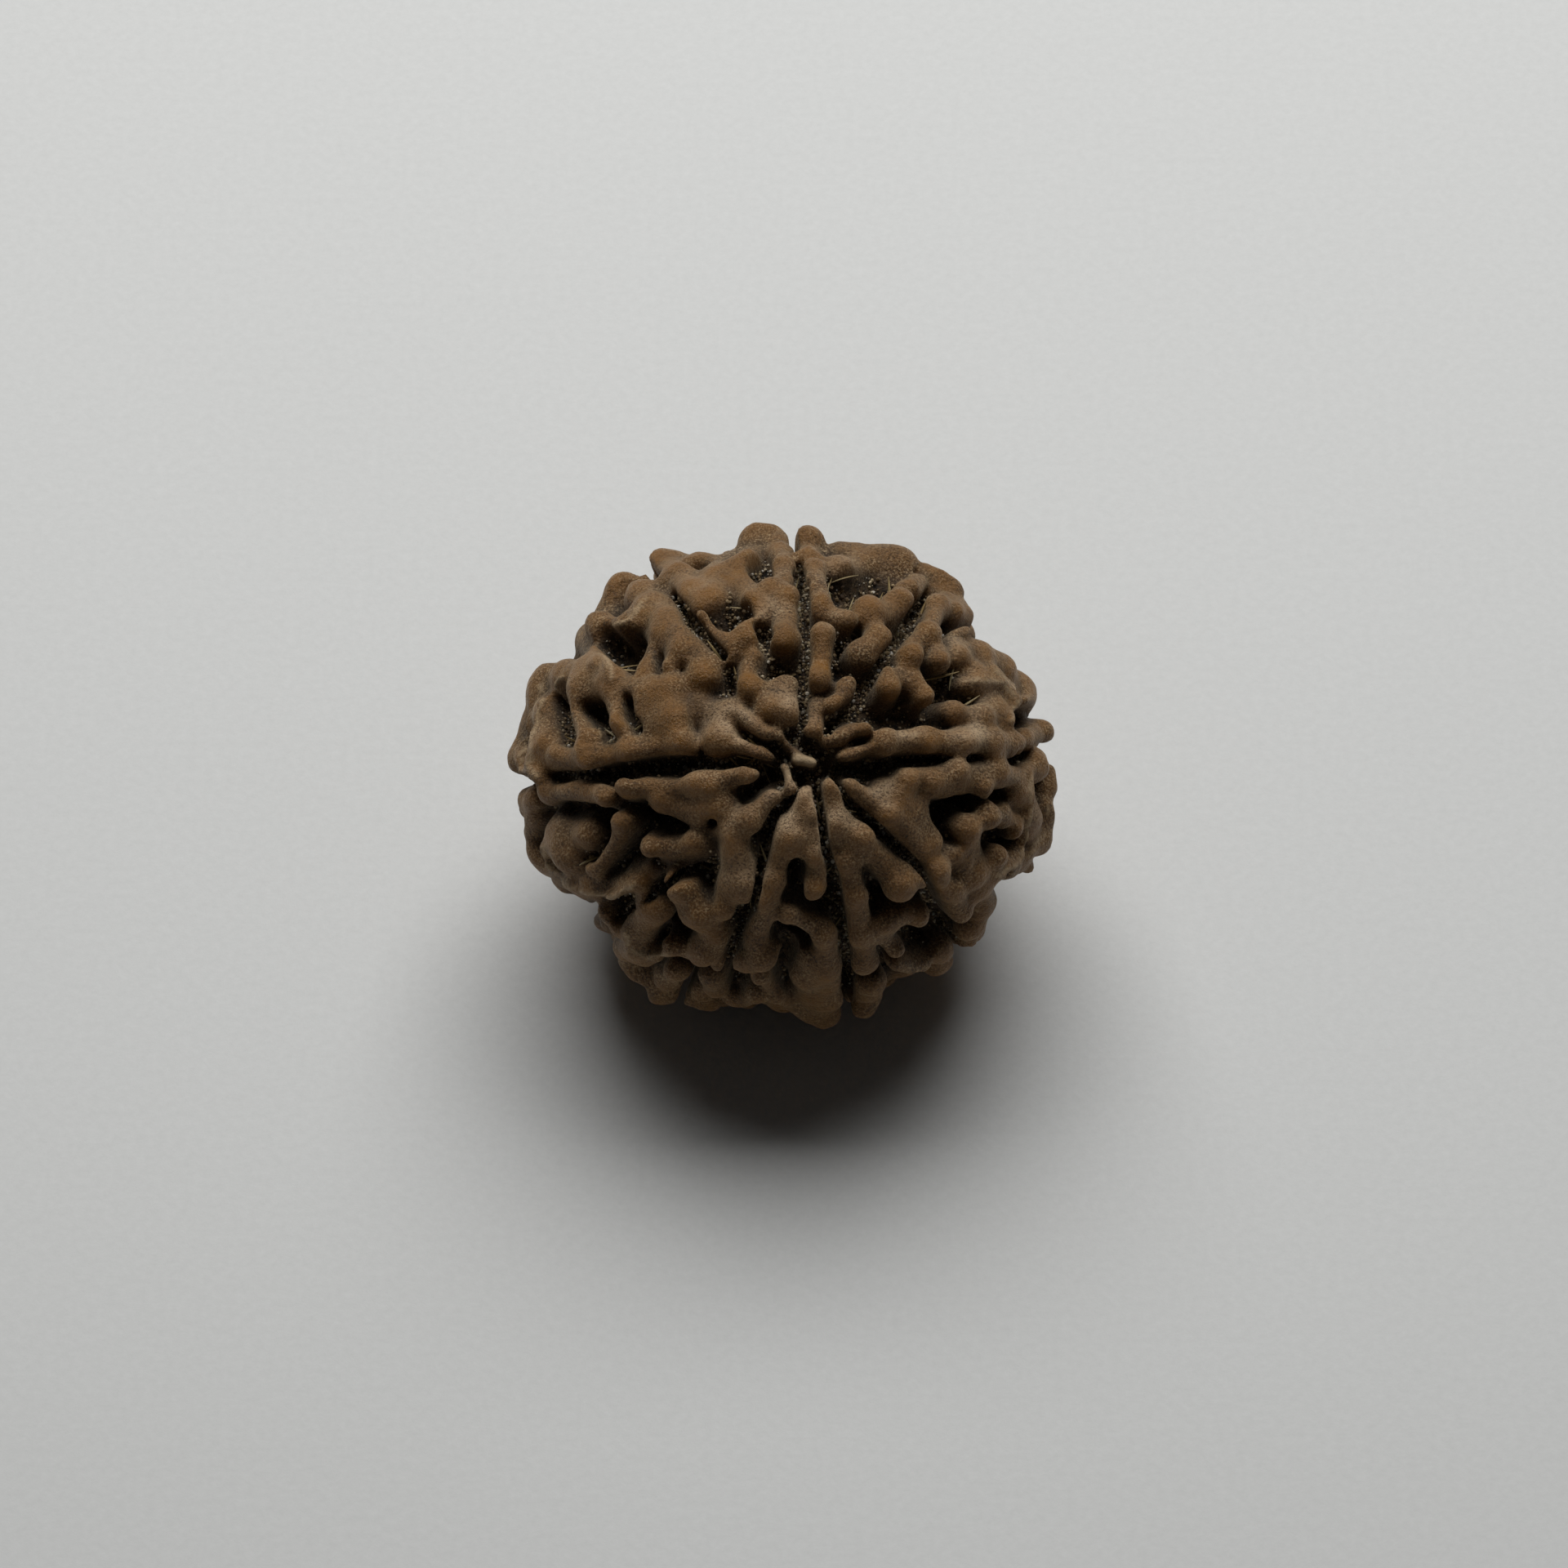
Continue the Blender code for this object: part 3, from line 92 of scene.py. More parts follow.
# Each ridge: half-width at its start and end, lift over the crests, and then the points of its centre line.
RIDGES = (
    # Between the north-west groove and the north groove
    (1.2, 1.2, 0.0, (-5.8, 10.3), (-5.0, 9.6), (-4.3, 8.9)),
    (0.9, 0.8, 0.0, (-5.8, 10.5), (-4.6, 10.7), (-3.2, 10.3), (-2.3, 10.3)),
    (0.8, 1.1, 0.0, (-3.3, 10.0), (-3.4, 9.2), (-3.7, 8.6)),
    (0.8, 0.7, -0.3, (-2.3, 9.6), (-1.6, 8.9), (-1.2, 8.4)),
    (0.8, 0.65, 0.05, (-1.1, 11.8), (-1.4, 11.3), (-1.7, 10.8)),
    (0.5, 0.45, 0.0, (-0.45, 12.0), (-0.2, 11.3), (0.05, 10.6), (0.0, 9.8), (-0.5, 9.3)),
    (0.5, 0.8, 0.0, (0.15, 8.9), (0.2, 8.0), (0.15, 7.2), (0.1, 6.7)),
    (0.4, 0.4, -0.1, (-0.4, 8.6), (-1.0, 8.1), (-1.2, 7.5)),
    (0.45, 0.7, 0.0, (-3.95, 7.9), (-3.6, 7.2), (-2.9, 6.7), (-2.3, 6.6), (-1.7, 6.9)),
    (0.5, 0.5, -0.2, (-2.9, 6.4), (-2.7, 6.0)),
    (0.5, 0.6, 0.0, (-1.4, 6.0), (-1.7, 5.3), (-1.6, 4.5)),
    (0.6, 0.6, -0.2, (0.1, 4.5), (0.0, 3.8), (0.2, 3.1)),
    (0.5, 0.5, -0.3, (-0.7, 4.2), (-0.5, 3.4)),
    (0.16, 0.16, -0.2, (0.05, 1.8), (0.3, 1.4), (0.7, 1.2)),
    # Between the west groove and the north-west groove
    (0.7, 0.75, 0.0, (-8.0, 9.4), (-7.1, 9.1), (-6.4, 8.5), (-5.8, 7.7), (-5.3, 6.9), (-4.8, 6.2)),
    (0.75, 0.75, 0.0, (-8.8, 8.3), (-8.5, 8.9), (-8.0, 9.3)),
    (0.45, 0.5, -0.1, (-9.2, 7.7), (-8.3, 7.7), (-7.5, 8.1), (-6.9, 8.6)),
    (0.45, 0.55, 0.0, (-9.3, 7.7), (-9.3, 7.0), (-9.2, 6.3), (-8.9, 5.6)),
    (0.8, 0.9, 0.0, (-4.6, 6.2), (-4.1, 5.5), (-3.9, 4.9)),
    (0.45, 0.4, -0.5, (-6.7, 7.8), (-6.4, 7.0), (-6.5, 6.0), (-6.7, 5.3)),
    (0.5, 0.45, -0.3, (-5.8, 7.2), (-5.5, 6.3), (-5.6, 5.4)),
    (0.9, 0.9, 0.0, (-11.6, 4.8), (-10.8, 5.1), (-9.7, 5.1), (-8.9, 4.6), (-7.8, 4.1), (-6.6, 4.1),
     (-5.5, 4.2)),
    (1.0, 1.1, 0.0, (-12.1, 4.1), (-12.5, 3.0), (-12.7, 1.8), (-12.8, 1.0)),
    (0.8, 0.8, 0.0, (-11.9, 4.3), (-11.9, 2.8), (-11.6, 1.5)),
    (0.75, 0.7, 0.0, (-10.1, 4.4), (-10.0, 3.4), (-9.9, 2.4), (-9.6, 1.8)),
    (0.7, 0.6, 0.0, (-12.3, 0.8), (-11.4, 0.9), (-10.4, 1.0), (-9.7, 1.1)),
    (0.6, 0.7, 0.1, (-9.5, 1.1), (-8.9, 1.1), (-8.0, 1.15), (-7.0, 1.35), (-5.8, 1.6), (-4.9, 1.6)),
    (0.7, 0.6, 0.0, (-8.3, 4.1), (-8.0, 3.4), (-7.9, 2.7)),
    (1.0, 0.8, 0.0, (-6.1, 4.0), (-6.0, 3.2), (-5.4, 2.6)),
    (0.9, 1.1, 0.0, (-2.8, 3.1), (-3.0, 2.4), (-3.0, 1.9)),
    (0.4, 0.3, 0.0, (-2.3, 3.2), (-1.6, 2.6), (-1.0, 2.2), (-0.4, 1.95)),
    (0.4, 0.28, -0.1, (-2.1, 1.5), (-1.4, 1.25), (-0.6, 0.95)),
    # Between the south-west groove and the west groove
    (0.5, 0.45, -0.1, (-11.8, -0.85), (-11.0, -0.85), (-10.0, -0.75), (-9.2, -0.95), (-8.7, -1.1)),
    (0.5, 0.6, 0.0, (-12.9, -1.2), (-12.6, -2.0), (-12.6, -2.9), (-12.2, -3.9)),
    (1.6, 1.5, 0.15, (-10.8, -3.3), (-10.4, -3.9)),
    (0.9, 0.82, -0.25, (-11.0, -2.8), (-10.1, -2.8), (-9.6, -2.9)),
    (0.8, 0.7, -0.1, (-11.7, -4.3), (-11.0, -5.0), (-10.2, -5.3)),
    (0.45, 0.5, 0.0, (-8.0, -2.3), (-8.3, -3.2), (-8.7, -3.9), (-9.3, -4.6)),
    (0.55, 0.45, -0.3, (-9.6, -5.1), (-8.8, -5.4), (-7.9, -5.3), (-7.0, -5.1)),
    (0.45, 0.55, 0.1, (-7.8, -0.65), (-7.0, -0.55), (-6.1, -0.5), (-5.2, -0.5), (-4.3, -0.35)),
    (0.5, 0.42, 0.1, (-3.6, -0.4), (-2.7, -0.15), (-2.0, 0.1), (-1.7, 0.2)),
    (0.7, 0.7, -0.3, (-5.9, -1.15), (-4.9, -1.6), (-4.1, -1.9), (-3.4, -1.4)),
    (0.45, 0.5, -0.2, (-6.6, -3.4), (-6.0, -3.5), (-5.2, -3.6), (-4.4, -3.4)),
    (0.4, 0.4, -0.9, (-7.2, -4.5), (-6.4, -4.6)),
    # Between the south groove and the south-west groove
    (0.45, 0.7, 0.0, (-0.5, -1.0), (-1.1, -1.6), (-1.7, -2.1)),
    (0.6, 0.6, -0.2, (-2.7, -1.3), (-2.5, -2.2), (-2.4, -2.9)),
    (0.95, 1.15, 0.25, (-2.3, -3.8), (-2.2, -4.6), (-2.2, -5.2)),
    (0.45, 0.45, 0.0, (-2.9, -5.9), (-2.9, -6.5)),
    (0.78, 0.78, 0.15, (-5.0, -5.4), (-4.5, -6.2), (-3.7, -7.0), (-3.4, -7.7), (-3.8, -8.5)),
    (0.5, 0.6, 0.05, (-5.5, -8.4), (-4.7, -8.8), (-3.9, -8.7)),
    (0.85, 0.95, 0.0, (-6.3, -6.5), (-7.0, -7.4), (-7.2, -8.3)),
    (0.42, 0.42, 0.0, (-9.0, -6.9), (-8.7, -7.4), (-8.2, -7.7)),
    (0.55, 0.75, 0.0, (-8.0, -8.7), (-7.6, -9.5), (-6.9, -10.2), (-6.2, -10.5)),
    (0.3, 0.3, 0.0, (-7.8, -8.7), (-7.4, -9.1), (-6.8, -9.15), (-6.2, -9.1)),
    (0.6, 0.6, 0.0, (-5.3, -9.7), (-5.7, -10.2)),
    (0.55, 0.5, 0.0, (-3.2, -9.4), (-2.5, -9.4), (-1.9, -9.1)),
    (0.6, 0.6, 0.0, (-3.6, -10.1), (-3.4, -10.7)),
    (0.55, 0.6, 0.0, (-4.9, -11.2), (-4.2, -11.3), (-3.6, -11.2)),
    (0.5, 0.45, 0.0, (-2.6, -11.2), (-2.0, -11.3), (-1.2, -11.0)),
    (0.55, 0.75, 0.05, (-0.8, -6.0), (-0.9, -6.9), (-1.3, -7.8), (-1.2, -8.7)),
    (0.5, 0.55, -0.1, (-0.1, -3.8), (-0.3, -4.5), (-0.5, -5.1)),
    (0.6, 0.85, 0.0, (1.0, -1.0), (0.8, -2.0), (0.5, -3.0)),
    (0.4, 0.45, 0.0, (1.3, -1.8), (1.4, -2.8), (1.6, -3.8)),
    (0.45, 0.6, 0.05, (1.7, -4.3), (1.7, -4.9), (1.65, -5.4)),
    (0.45, 0.7, 0.0, (0.2, -6.9), (1.1, -7.3), (1.9, -7.6), (2.2, -8.5), (2.1, -9.7), (2.3, -10.8),
     (2.3, -11.9)),
    (0.8, 0.9, -0.1, (1.2, -9.9), (1.5, -10.8), (1.6, -11.4)),
    (0.35, 0.4, 0.0, (-1.1, -9.9), (-0.8, -10.6), (-0.3, -11.1), (0.4, -11.6), (1.1, -11.9)),
    (0.14, 0.14, -0.6, (-0.4, -8.4), (0.3, -8.5), (0.9, -8.7)),
    # Between the south groove and the south-east groove
    (0.58, 0.72, 0.1, (2.2, -0.5), (2.6, -1.5), (3.2, -2.4), (3.9, -3.2), (4.7, -4.0), (5.5, -4.8),
     (5.9, -5.1)),
    (0.6, 0.7, 0.0, (2.6, -2.4), (2.9, -3.6), (3.4, -5.0), (3.65, -6.3), (3.9, -7.6), (4.1, -8.6),
     (4.1, -9.2)),
    (0.6, 0.55, 0.0, (5.1, -7.2), (6.0, -6.95), (6.9, -6.9)),
    (0.4, 0.4, -0.1, (4.8, -8.0), (5.3, -8.4), (5.7, -8.6)),
    (0.75, 0.75, 0.0, (8.0, -8.9), (7.7, -9.1)),
    (0.25, 0.3, 0.0, (5.7, -9.5), (6.4, -9.6), (7.1, -9.5)),
    (0.6, 0.7, 0.0, (4.5, -10.4), (4.6, -11.1), (4.2, -11.6)),
    # Between the south-east groove and the east groove
    (0.48, 0.68, 0.1, (3.3, -0.6), (4.2, -1.1), (5.2, -1.75), (6.1, -2.7), (6.8, -3.7), (7.4, -4.6)),
    (0.7, 0.6, 0.15, (7.4, -4.6), (8.0, -5.4), (8.7, -6.2), (9.0, -6.8)),
    (0.45, 0.5, -0.15, (8.4, -3.8), (8.9, -4.8), (9.5, -5.8)),
    (0.28, 0.28, 0.0, (9.25, -4.2), (9.3, -5.3)),
    (0.6, 0.6, -0.2, (5.8, -0.9), (6.5, -1.5), (7.0, -2.4), (7.5, -3.2)),
    (0.55, 0.5, 0.1, (6.2, -0.05), (7.0, 0.0), (8.0, 0.0), (9.0, 0.15), (10.0, 0.2), (11.0, 0.05),
     (12.0, 0.1), (12.8, 0.4)),
    (0.55, 0.45, -0.1, (7.3, -0.5), (8.1, -0.7), (9.0, -0.4), (9.9, -0.3)),
    (0.9, 1.0, 0.0, (11.6, -0.7), (12.1, -1.6), (12.2, -2.6), (11.9, -3.6)),
    (0.45, 0.4, 0.0, (12.8, 0.9), (13.2, 0.2)),
    (0.6, 0.6, 0.0, (13.25, -0.5), (13.3, -1.9), (12.9, -3.3)),
    (0.6, 0.7, 0.0, (10.2, -1.8), (11.0, -1.7), (11.5, -2.5)),
    (0.75, 0.7, -0.1, (9.0, -2.6), (9.3, -3.5), (9.5, -4.6)),
    (0.45, 0.45, 0.0, (10.6, -4.0), (11.5, -4.1), (12.2, -4.1)),
    (0.35, 0.35, 0.0, (10.9, -4.9), (11.7, -4.8), (12.3, -4.5)),
    (0.6, 0.65, 0.0, (10.0, -5.3), (10.1, -6.5), (9.7, -7.4), (9.2, -8.1)),
    # Between the east groove and the north-east groove
    (0.3, 0.4, 0.0, (3.0, 0.95), (3.7, 1.2), (4.4, 1.45), (5.0, 1.6)),
    (0.62, 0.6, 0.15, (5.1, 1.65), (6.2, 1.75), (7.4, 1.75), (8.6, 1.75), (9.8, 1.85), (10.7, 1.7),
     (11.6, 1.65)),
    (0.5, 0.5, 0.0, (11.6, 1.65), (12.2, 1.85), (12.95, 2.4)),
    (0.3, 0.3, 0.0, (12.3, 3.9), (12.6, 3.9)),
    (0.4, 0.45, 0.0, (2.9, 2.05), (3.5, 2.35), (4.1, 2.4)),
    (0.72, 0.66, 0.1, (5.2, 4.9), (5.4, 4.4)),
    (0.62, 0.5, -0.1, (6.4, 4.6), (6.8, 4.3), (7.0, 3.9)),
    (0.5, 0.55, 0.05, (7.2, 7.1), (6.6, 6.7), (6.35, 6.0)),
    (0.42, 0.42, 0.0, (7.3, 6.9), (7.8, 6.5), (7.85, 5.8)),
    (0.38, 0.38, -0.35, (6.35, 5.7), (6.0, 5.1), (6.4, 4.7)),
    (0.5, 0.5, 0.05, (8.7, 8.3), (8.4, 8.95), (7.9, 8.6), (7.6, 7.8), (7.3, 7.2)),
    (0.5, 0.55, 0.0, (8.0, 10.1), (8.7, 9.6), (9.0, 8.9), (9.1, 8.1)),
    (0.3, 0.35, 0.0, (8.8, 7.3), (9.35, 7.35)),
    (0.55, 0.55, -0.1, (8.5, 6.6), (9.1, 6.4), (8.9, 5.9)),
    (0.9, 0.95, 0.0, (9.8, 6.0), (10.8, 5.4), (11.4, 4.9), (11.9, 4.2)),
    (0.85, 0.82, -0.1, (9.6, 4.9), (10.5, 4.6), (10.9, 3.9), (10.5, 3.2)),
    (0.5, 0.5, -0.2, (8.5, 3.3), (9.2, 2.9), (9.9, 3.0)),
    (0.3, 0.3, -0.2, (11.4, 3.9), (11.4, 3.2), (11.2, 2.7)),
    # Between the north-east groove and the north groove
    (0.85, 0.75, 0.05, (1.15, 11.9), (1.35, 11.3), (1.3, 10.9)),
    (0.48, 0.5, 0.0, (1.6, 10.5), (1.65, 9.9), (1.75, 9.2), (1.9, 8.6)),
    (0.5, 0.5, 0.0, (1.75, 8.3), (2.4, 8.1), (3.1, 7.7)),
    (0.6, 0.65, 0.1, (2.0, 7.0), (2.0, 6.0), (1.95, 5.2), (1.9, 4.8)),
    (0.55, 0.5, 0.0, (3.2, 4.6), (3.1, 4.0), (2.5, 3.6)),
    (0.45, 0.4, -0.2, (1.8, 3.6), (1.7, 2.9), (1.6, 2.3)),
    (0.28, 0.3, -0.1, (1.7, 2.1), (2.15, 1.85)),
    (0.9, 0.9, 0.0, (2.9, 10.4), (4.0, 10.6), (5.0, 10.5), (6.0, 10.4)),
    (0.5, 0.58, 0.05, (7.3, 10.2), (6.8, 9.8), (6.3, 9.4)),
    (0.7, 0.7, 0.0, (4.4, 8.0), (5.2, 8.1), (5.9, 8.5)),
    (0.75, 0.65, 0.0, (3.9, 6.1), (4.4, 6.4), (4.9, 6.8)),
)

# Broad saddles and plateaus that join the ridges a little under their crests, in the same form as the ridges.
WEBS = (
    (1.2, 1.2, -0.35, (-11.4, 4.6), (-11.8, 2.6), (-11.3, 1.4)),
    (1.2, 1.1, -0.4, (-7.0, 3.6), (-5.0, 3.2)),
    (0.9, 0.9, -0.5, (-9.3, 5.6), (-9.6, 6.9)),
    (0.8, 0.8, -0.8, (-11.0, 3.6), (-10.8, 2.0)),
    (0.7, 0.7, -0.6, (-9.0, 7.2), (-8.4, 8.4), (-7.6, 9.3)),
    (1.1, 1.0, -0.3, (-5.4, 9.9), (-3.2, 10.2), (-2.0, 10.7)),
    (0.9, 0.9, -1.1, (-2.5, 8.8), (-1.8, 8.2)),
    (1.2, 1.2, -0.25, (3.0, 10.9), (5.6, 10.7)),
    (1.2, 1.1, -0.35, (9.7, 5.7), (10.9, 4.7), (10.6, 3.6)),
    (1.1, 1.1, -0.3, (11.7, -1.8), (11.9, -3.2), (11.3, -4.0)),
    (1.0, 0.9, -0.5, (8.4, -3.0), (8.9, -4.2)),
    (0.9, 0.9, -0.25, (5.0, -0.9), (6.4, -1.4)),
    (0.8, 0.8, -0.2, (0.7, -2.4), (0.9, -3.3)),
    (0.7, 0.7, -0.15, (3.0, -2.8), (3.5, -3.6)),
    (0.7, 0.7, -0.3, (4.5, -7.4), (5.4, -7.3)),
    (1.0, 1.1, -0.2, (1.7, -8.8), (1.6, -10.4), (1.7, -11.3)),
    (1.1, 1.0, -0.3, (-3.9, -1.4), (-2.5, -2.4)),
    (0.8, 0.8, -0.8, (-5.4, -3.5), (-3.8, -3.4)),
    (1.0, 0.9, -0.3, (-10.6, -4.9), (-9.2, -5.4)),
    (1.0, 1.0, 0.0, (-6.9, -9.9), (-6.0, -10.6)),
    (0.8, 0.8, -0.4, (-4.1, 3.6), (-3.2, 2.6)),
)

# Made last, in the same form: the small stub at the pole and the strand beside it, which stand in the pit
# there, and a fill at the upper right rim.
LATE_RIDGES = (
    (0.27, 0.25, 0.35, (0.8, 0.86), (1.2, 0.78), (1.5, 0.7)),
    (0.16, 0.2, 0.1, (0.05, 0.5), (0.25, 0.1), (0.35, -0.5)),
    (0.5, 0.55, -0.1, (7.1, 10.3), (7.9, 10.0), (8.5, 9.5)),
)

# Near the pole the ridges dip: how deep, and how far out.
POLE_DIP = 0.8
POLE_DIP_RADIUS = 1.7

# Each hollow deepens the floor between ridges: half-width, depth under the crests, and its centre line.
HOLLOWS = (
    (1.0, 4.2, (-8.0, 6.9), (-7.6, 5.9)),
    (0.3, 3.2, (-2.5, 5.6), (-2.7, 4.5)),
    (0.5, 3.6, (-0.2, 5.6), (0.8, 5.5)),
    (1.1, 4.4, (-7.2, -1.9), (-5.9, -2.4)),
    (0.4, 3.2, (-9.6, -1.8), (-8.6, -1.9)),
    (0.5, 3.2, (-5.0, -3.0), (-3.9, -2.9)),
    (0.6, 3.6, (-7.6, -3.7), (-6.4, -4.6), (-4.4, -4.4)),
    (0.6, 3.4, (-8.4, -6.8), (-7.9, -6.7)),
    (0.4, 3.2, (-5.4, -7.2), (-5.0, -7.5)),
    (0.35, 3.4, (-1.9, -6.7), (-2.4, -8.2)),
    (0.5, 3.4, (0.2, -8.1), (0.3, -9.2)),
    (0.5, 3.2, (-1.7, -10.4), (-1.3, -10.6)),
    (0.3, 3.2, (1.0, -6.1), (2.4, -6.4)),
    (0.35, 3.2, (4.6, -5.7), (6.3, -6.1)),
    (0.5, 3.4, (7.0, -5.8), (7.2, -7.6), (8.2, -7.6)),
    (0.5, 3.2, (6.4, -8.5), (6.7, -8.9)),
    (0.4, 3.4, (7.4, -1.9), (8.6, -1.7), (9.6, -1.3)),
    (0.55, 3.6, (2.6, 0.3), (3.8, 0.2), (5.2, 0.05)),
    (0.35, 3.2, (2.3, 1.5), (3.4, 1.5)),
    (0.5, 3.6, (4.8, 3.0), (6.8, 3.0)),
    (0.6, 3.2, (3.0, 9.2), (4.6, 9.1), (5.4, 9.4)),
    (0.7, 3.8, (3.6, 5.3), (4.4, 5.0), (4.2, 4.0)),
    (0.5, 3.4, (7.1, 5.2), (8.0, 5.0), (7.9, 4.0)),
    (0.4, 3.0, (-0.7, 0.3), (0.8, -0.2)),
)

# Each pit is sunk into the ridges: half-width, depth under the crests, and its centre line.
PITS = (
    (0.6, 1.9, (0.75, 0.55), (1.6, 0.55)),
    (0.28, 1.6, (-10.85, 3.7), (-10.8, 2.7), (-10.4, 1.7)),
    (0.42, 2.2, (-9.0, 3.1), (-8.5, 2.5)),
    (0.3, 1.4, (-7.35, 3.6), (-7.3, 2.8), (-6.9, 2.3)),
    (0.45, 1.2, (-4.4, 10.4), (-4.0, 10.4)),
    (0.55, 1.5, (-2.9, 8.0), (-2.0, 8.0)),
    (0.5, 1.6, (-1.2, 10.0), (-0.8, 10.3)),
    (0.4, 1.6, (-1.0, 6.9), (-0.8, 6.6)),
    (0.5, 1.5, (2.9, 9.1), (3.9, 8.9)),
    (0.3, 1.2, (4.9, 9.9), (4.9, 9.0)),
    (0.42, 1.5, (-7.7, 8.6), (-7.3, 8.9)),
    (0.2, 1.1, (-9.3, -4.0), (-9.0, -3.6)),
    (0.28, 1.6, (-10.5, -1.5), (-10.3, -1.5)),
    (0.28, 1.6, (-11.6, -1.8), (-11.3, -1.8)),
    (0.4, 1.6, (-6.9, -9.75), (-6.6, -9.7)),
    (0.22, 1.4, (-3.45, -2.2), (-3.3, -2.2)),
    (0.26, 1.4, (0.3, -11.0), (0.7, -11.3)),
    (0.32, 1.5, (0.7, -4.1), (0.7, -5.4)),
    (0.42, 1.8, (10.6, -2.7), (10.6, -3.2)),
    (0.2, 1.4, (8.0, -2.9), (8.2, -3.1)),
    (0.2, 1.4, (10.3, -4.5), (10.6, -4.4)),
    (0.28, 1.8, (10.0, -1.1), (10.5, -0.8)),
    (0.3, 1.8, (10.7, 2.6), (11.1, 2.9)),
    (0.24, 1.4, (8.7, 8.1), (8.8, 7.9)),
    (0.26, 1.4, (7.2, 9.0), (7.5, 8.9)),
    (0.3, 1.6, (0.45, 2.05), (0.55, 1.95)),
    (0.22, 1.4, (1.3, 1.65), (1.5, 1.65)),
    (0.2, 1.4, (-0.4, 1.55), (-0.3, 1.5)),
    (0.16, 2.2, (0.8, 0.1), (0.72, -0.5), (0.45, -1.0), (0.1, -1.5)),
    (0.15, 2.2, (1.7, 0.0), (1.62, -0.5), (1.6, -0.9)),
    (0.15, 2.2, (2.3, 0.0), (2.7, -0.6), (3.05, -1.2)),
    (0.6, 2.6, (-8.1, 6.2), (-7.5, 5.6), (-7.0, 5.3)),
    (0.62, 2.3, (3.1, 9.1), (4.3, 9.2)),
    (0.4, 2.2, (3.0, 8.8), (3.7, 8.8)),
)

# The nine grooves on the face that is seen: half-width, depth under the crests, and their centre lines.
GROOVES = (
    (0.26, 2.6, (2.6, 0.45), (3.8, 0.35), (4.9, 0.6), (6.0, 0.75), (8.0, 0.8), (10.0, 0.9), (11.5, 0.75),
     (12.5, 1.3)),
    (0.24, 2.3, (2.0, 1.9), (2.5, 2.7), (3.4, 3.3), (4.0, 4.1), (4.6, 5.3), (5.4, 6.2), (5.8, 7.2),
     (6.5, 7.9), (7.0, 8.8), (7.45, 9.6), (7.8, 10.3)),
    (0.25, 2.2, (0.95, 2.4), (0.95, 3.4), (1.05, 5.0), (1.15, 7.0), (1.05, 8.4), (0.75, 9.8), (0.6, 10.8),
     (0.35, 11.8)),
    (0.24, 2.2, (-2.6, 5.3), (-3.4, 6.2), (-4.3, 7.3), (-5.0, 8.2), (-5.7, 9.1), (-6.6, 9.9)),
    (0.28, 1.5, (-0.6, 0.4), (-1.8, 0.75), (-2.9, 0.6), (-4.2, 0.65)),
    (0.32, 2.8, (-4.2, 0.65), (-5.4, 0.6), (-7.0, 0.4), (-8.5, 0.1), (-10.5, 0.1), (-12.4, -0.15)),
    (0.24, 2.4, (-3.5, -4.2), (-4.6, -4.3), (-5.8, -5.2), (-7.2, -6.2), (-8.6, -6.4)),
    (0.24, 2.2, (-0.3, -1.5), (-0.6, -2.4), (-0.9, -3.6), (-1.1, -4.8), (-1.3, -5.8), (-1.9, -6.7),
     (-2.4, -8.2), (-2.6, -8.7)),
    (0.26, 2.2, (1.6, -0.8), (1.8, -2.0), (1.95, -3.2), (2.35, -4.3), (2.55, -5.3), (2.75, -6.5),
     (2.95, -8.0), (3.1, -9.3), (3.4, -10.4), (3.3, -11.8)),
    (0.27, 2.3, (3.0, -1.2), (4.0, -2.0), (5.0, -2.9), (6.0, -3.8), (6.6, -4.8), (7.1, -5.8), (7.8, -7.2),
     (8.7, -7.9), (9.0, -8.9)),
)

# Out of sight the same pattern runs on by rule: a broken rim along each side of a groove.
# Angles are in degrees, from the axis or round it.
RIM_OFFSET = 1.1
RIM_OFFSET_SPREAD = (-0.1, 0.15)
RIM_LEAST_RADIUS = 2.2
RIM_WIDTHS = (0.6, 0.8)
RIM_START = (78.0, 90.0)
RIM_END = 166.0
RIM_STEP = 5.2
RIM_RUN_STEPS = 4
RIM_GAPS = (0.5, 3.0)

# Hidden grooves run from beside the widest part almost to the lower pole.
HIDDEN_GROOVE_WIDTH = 0.24
HIDDEN_GROOVE_DEPTH = 2.0
HIDDEN_GROOVE_START = 80.0
HIDDEN_GROOVE_END = 173.0
HIDDEN_GROOVE_STEP = 6.0

# Worms fill the rest: large ones first, then small ones in what room is left.
WORM_WIDTHS = ((0.65, 1.05), (0.4, 0.6))
WORM_STEP = 0.9
WORM_MOST_STEPS = 4
WORM_TURN = 0.7
WORM_TAPER = (0.8, 1.0)
WORM_TRIES = 8000
WORM_SPACING = 0.98
GROOVE_CLEARANCE = 0.85
HIDDEN_BELOW = 2.2

# A hidden ridge that would show past the outline is moved towards the centre in small steps.
OUTLINE_SLACK = 0.1
DRAW_IN_STEPS = 12
DRAW_IN_SHARE = 0.98

# The blunt knob that the bead rests on, under its centre: half-width, half-length and how much is worn flat.
FOOT_WIDTH = 1.3
FOOT_REACH = 0.8
FOOT_WORN = 0.4

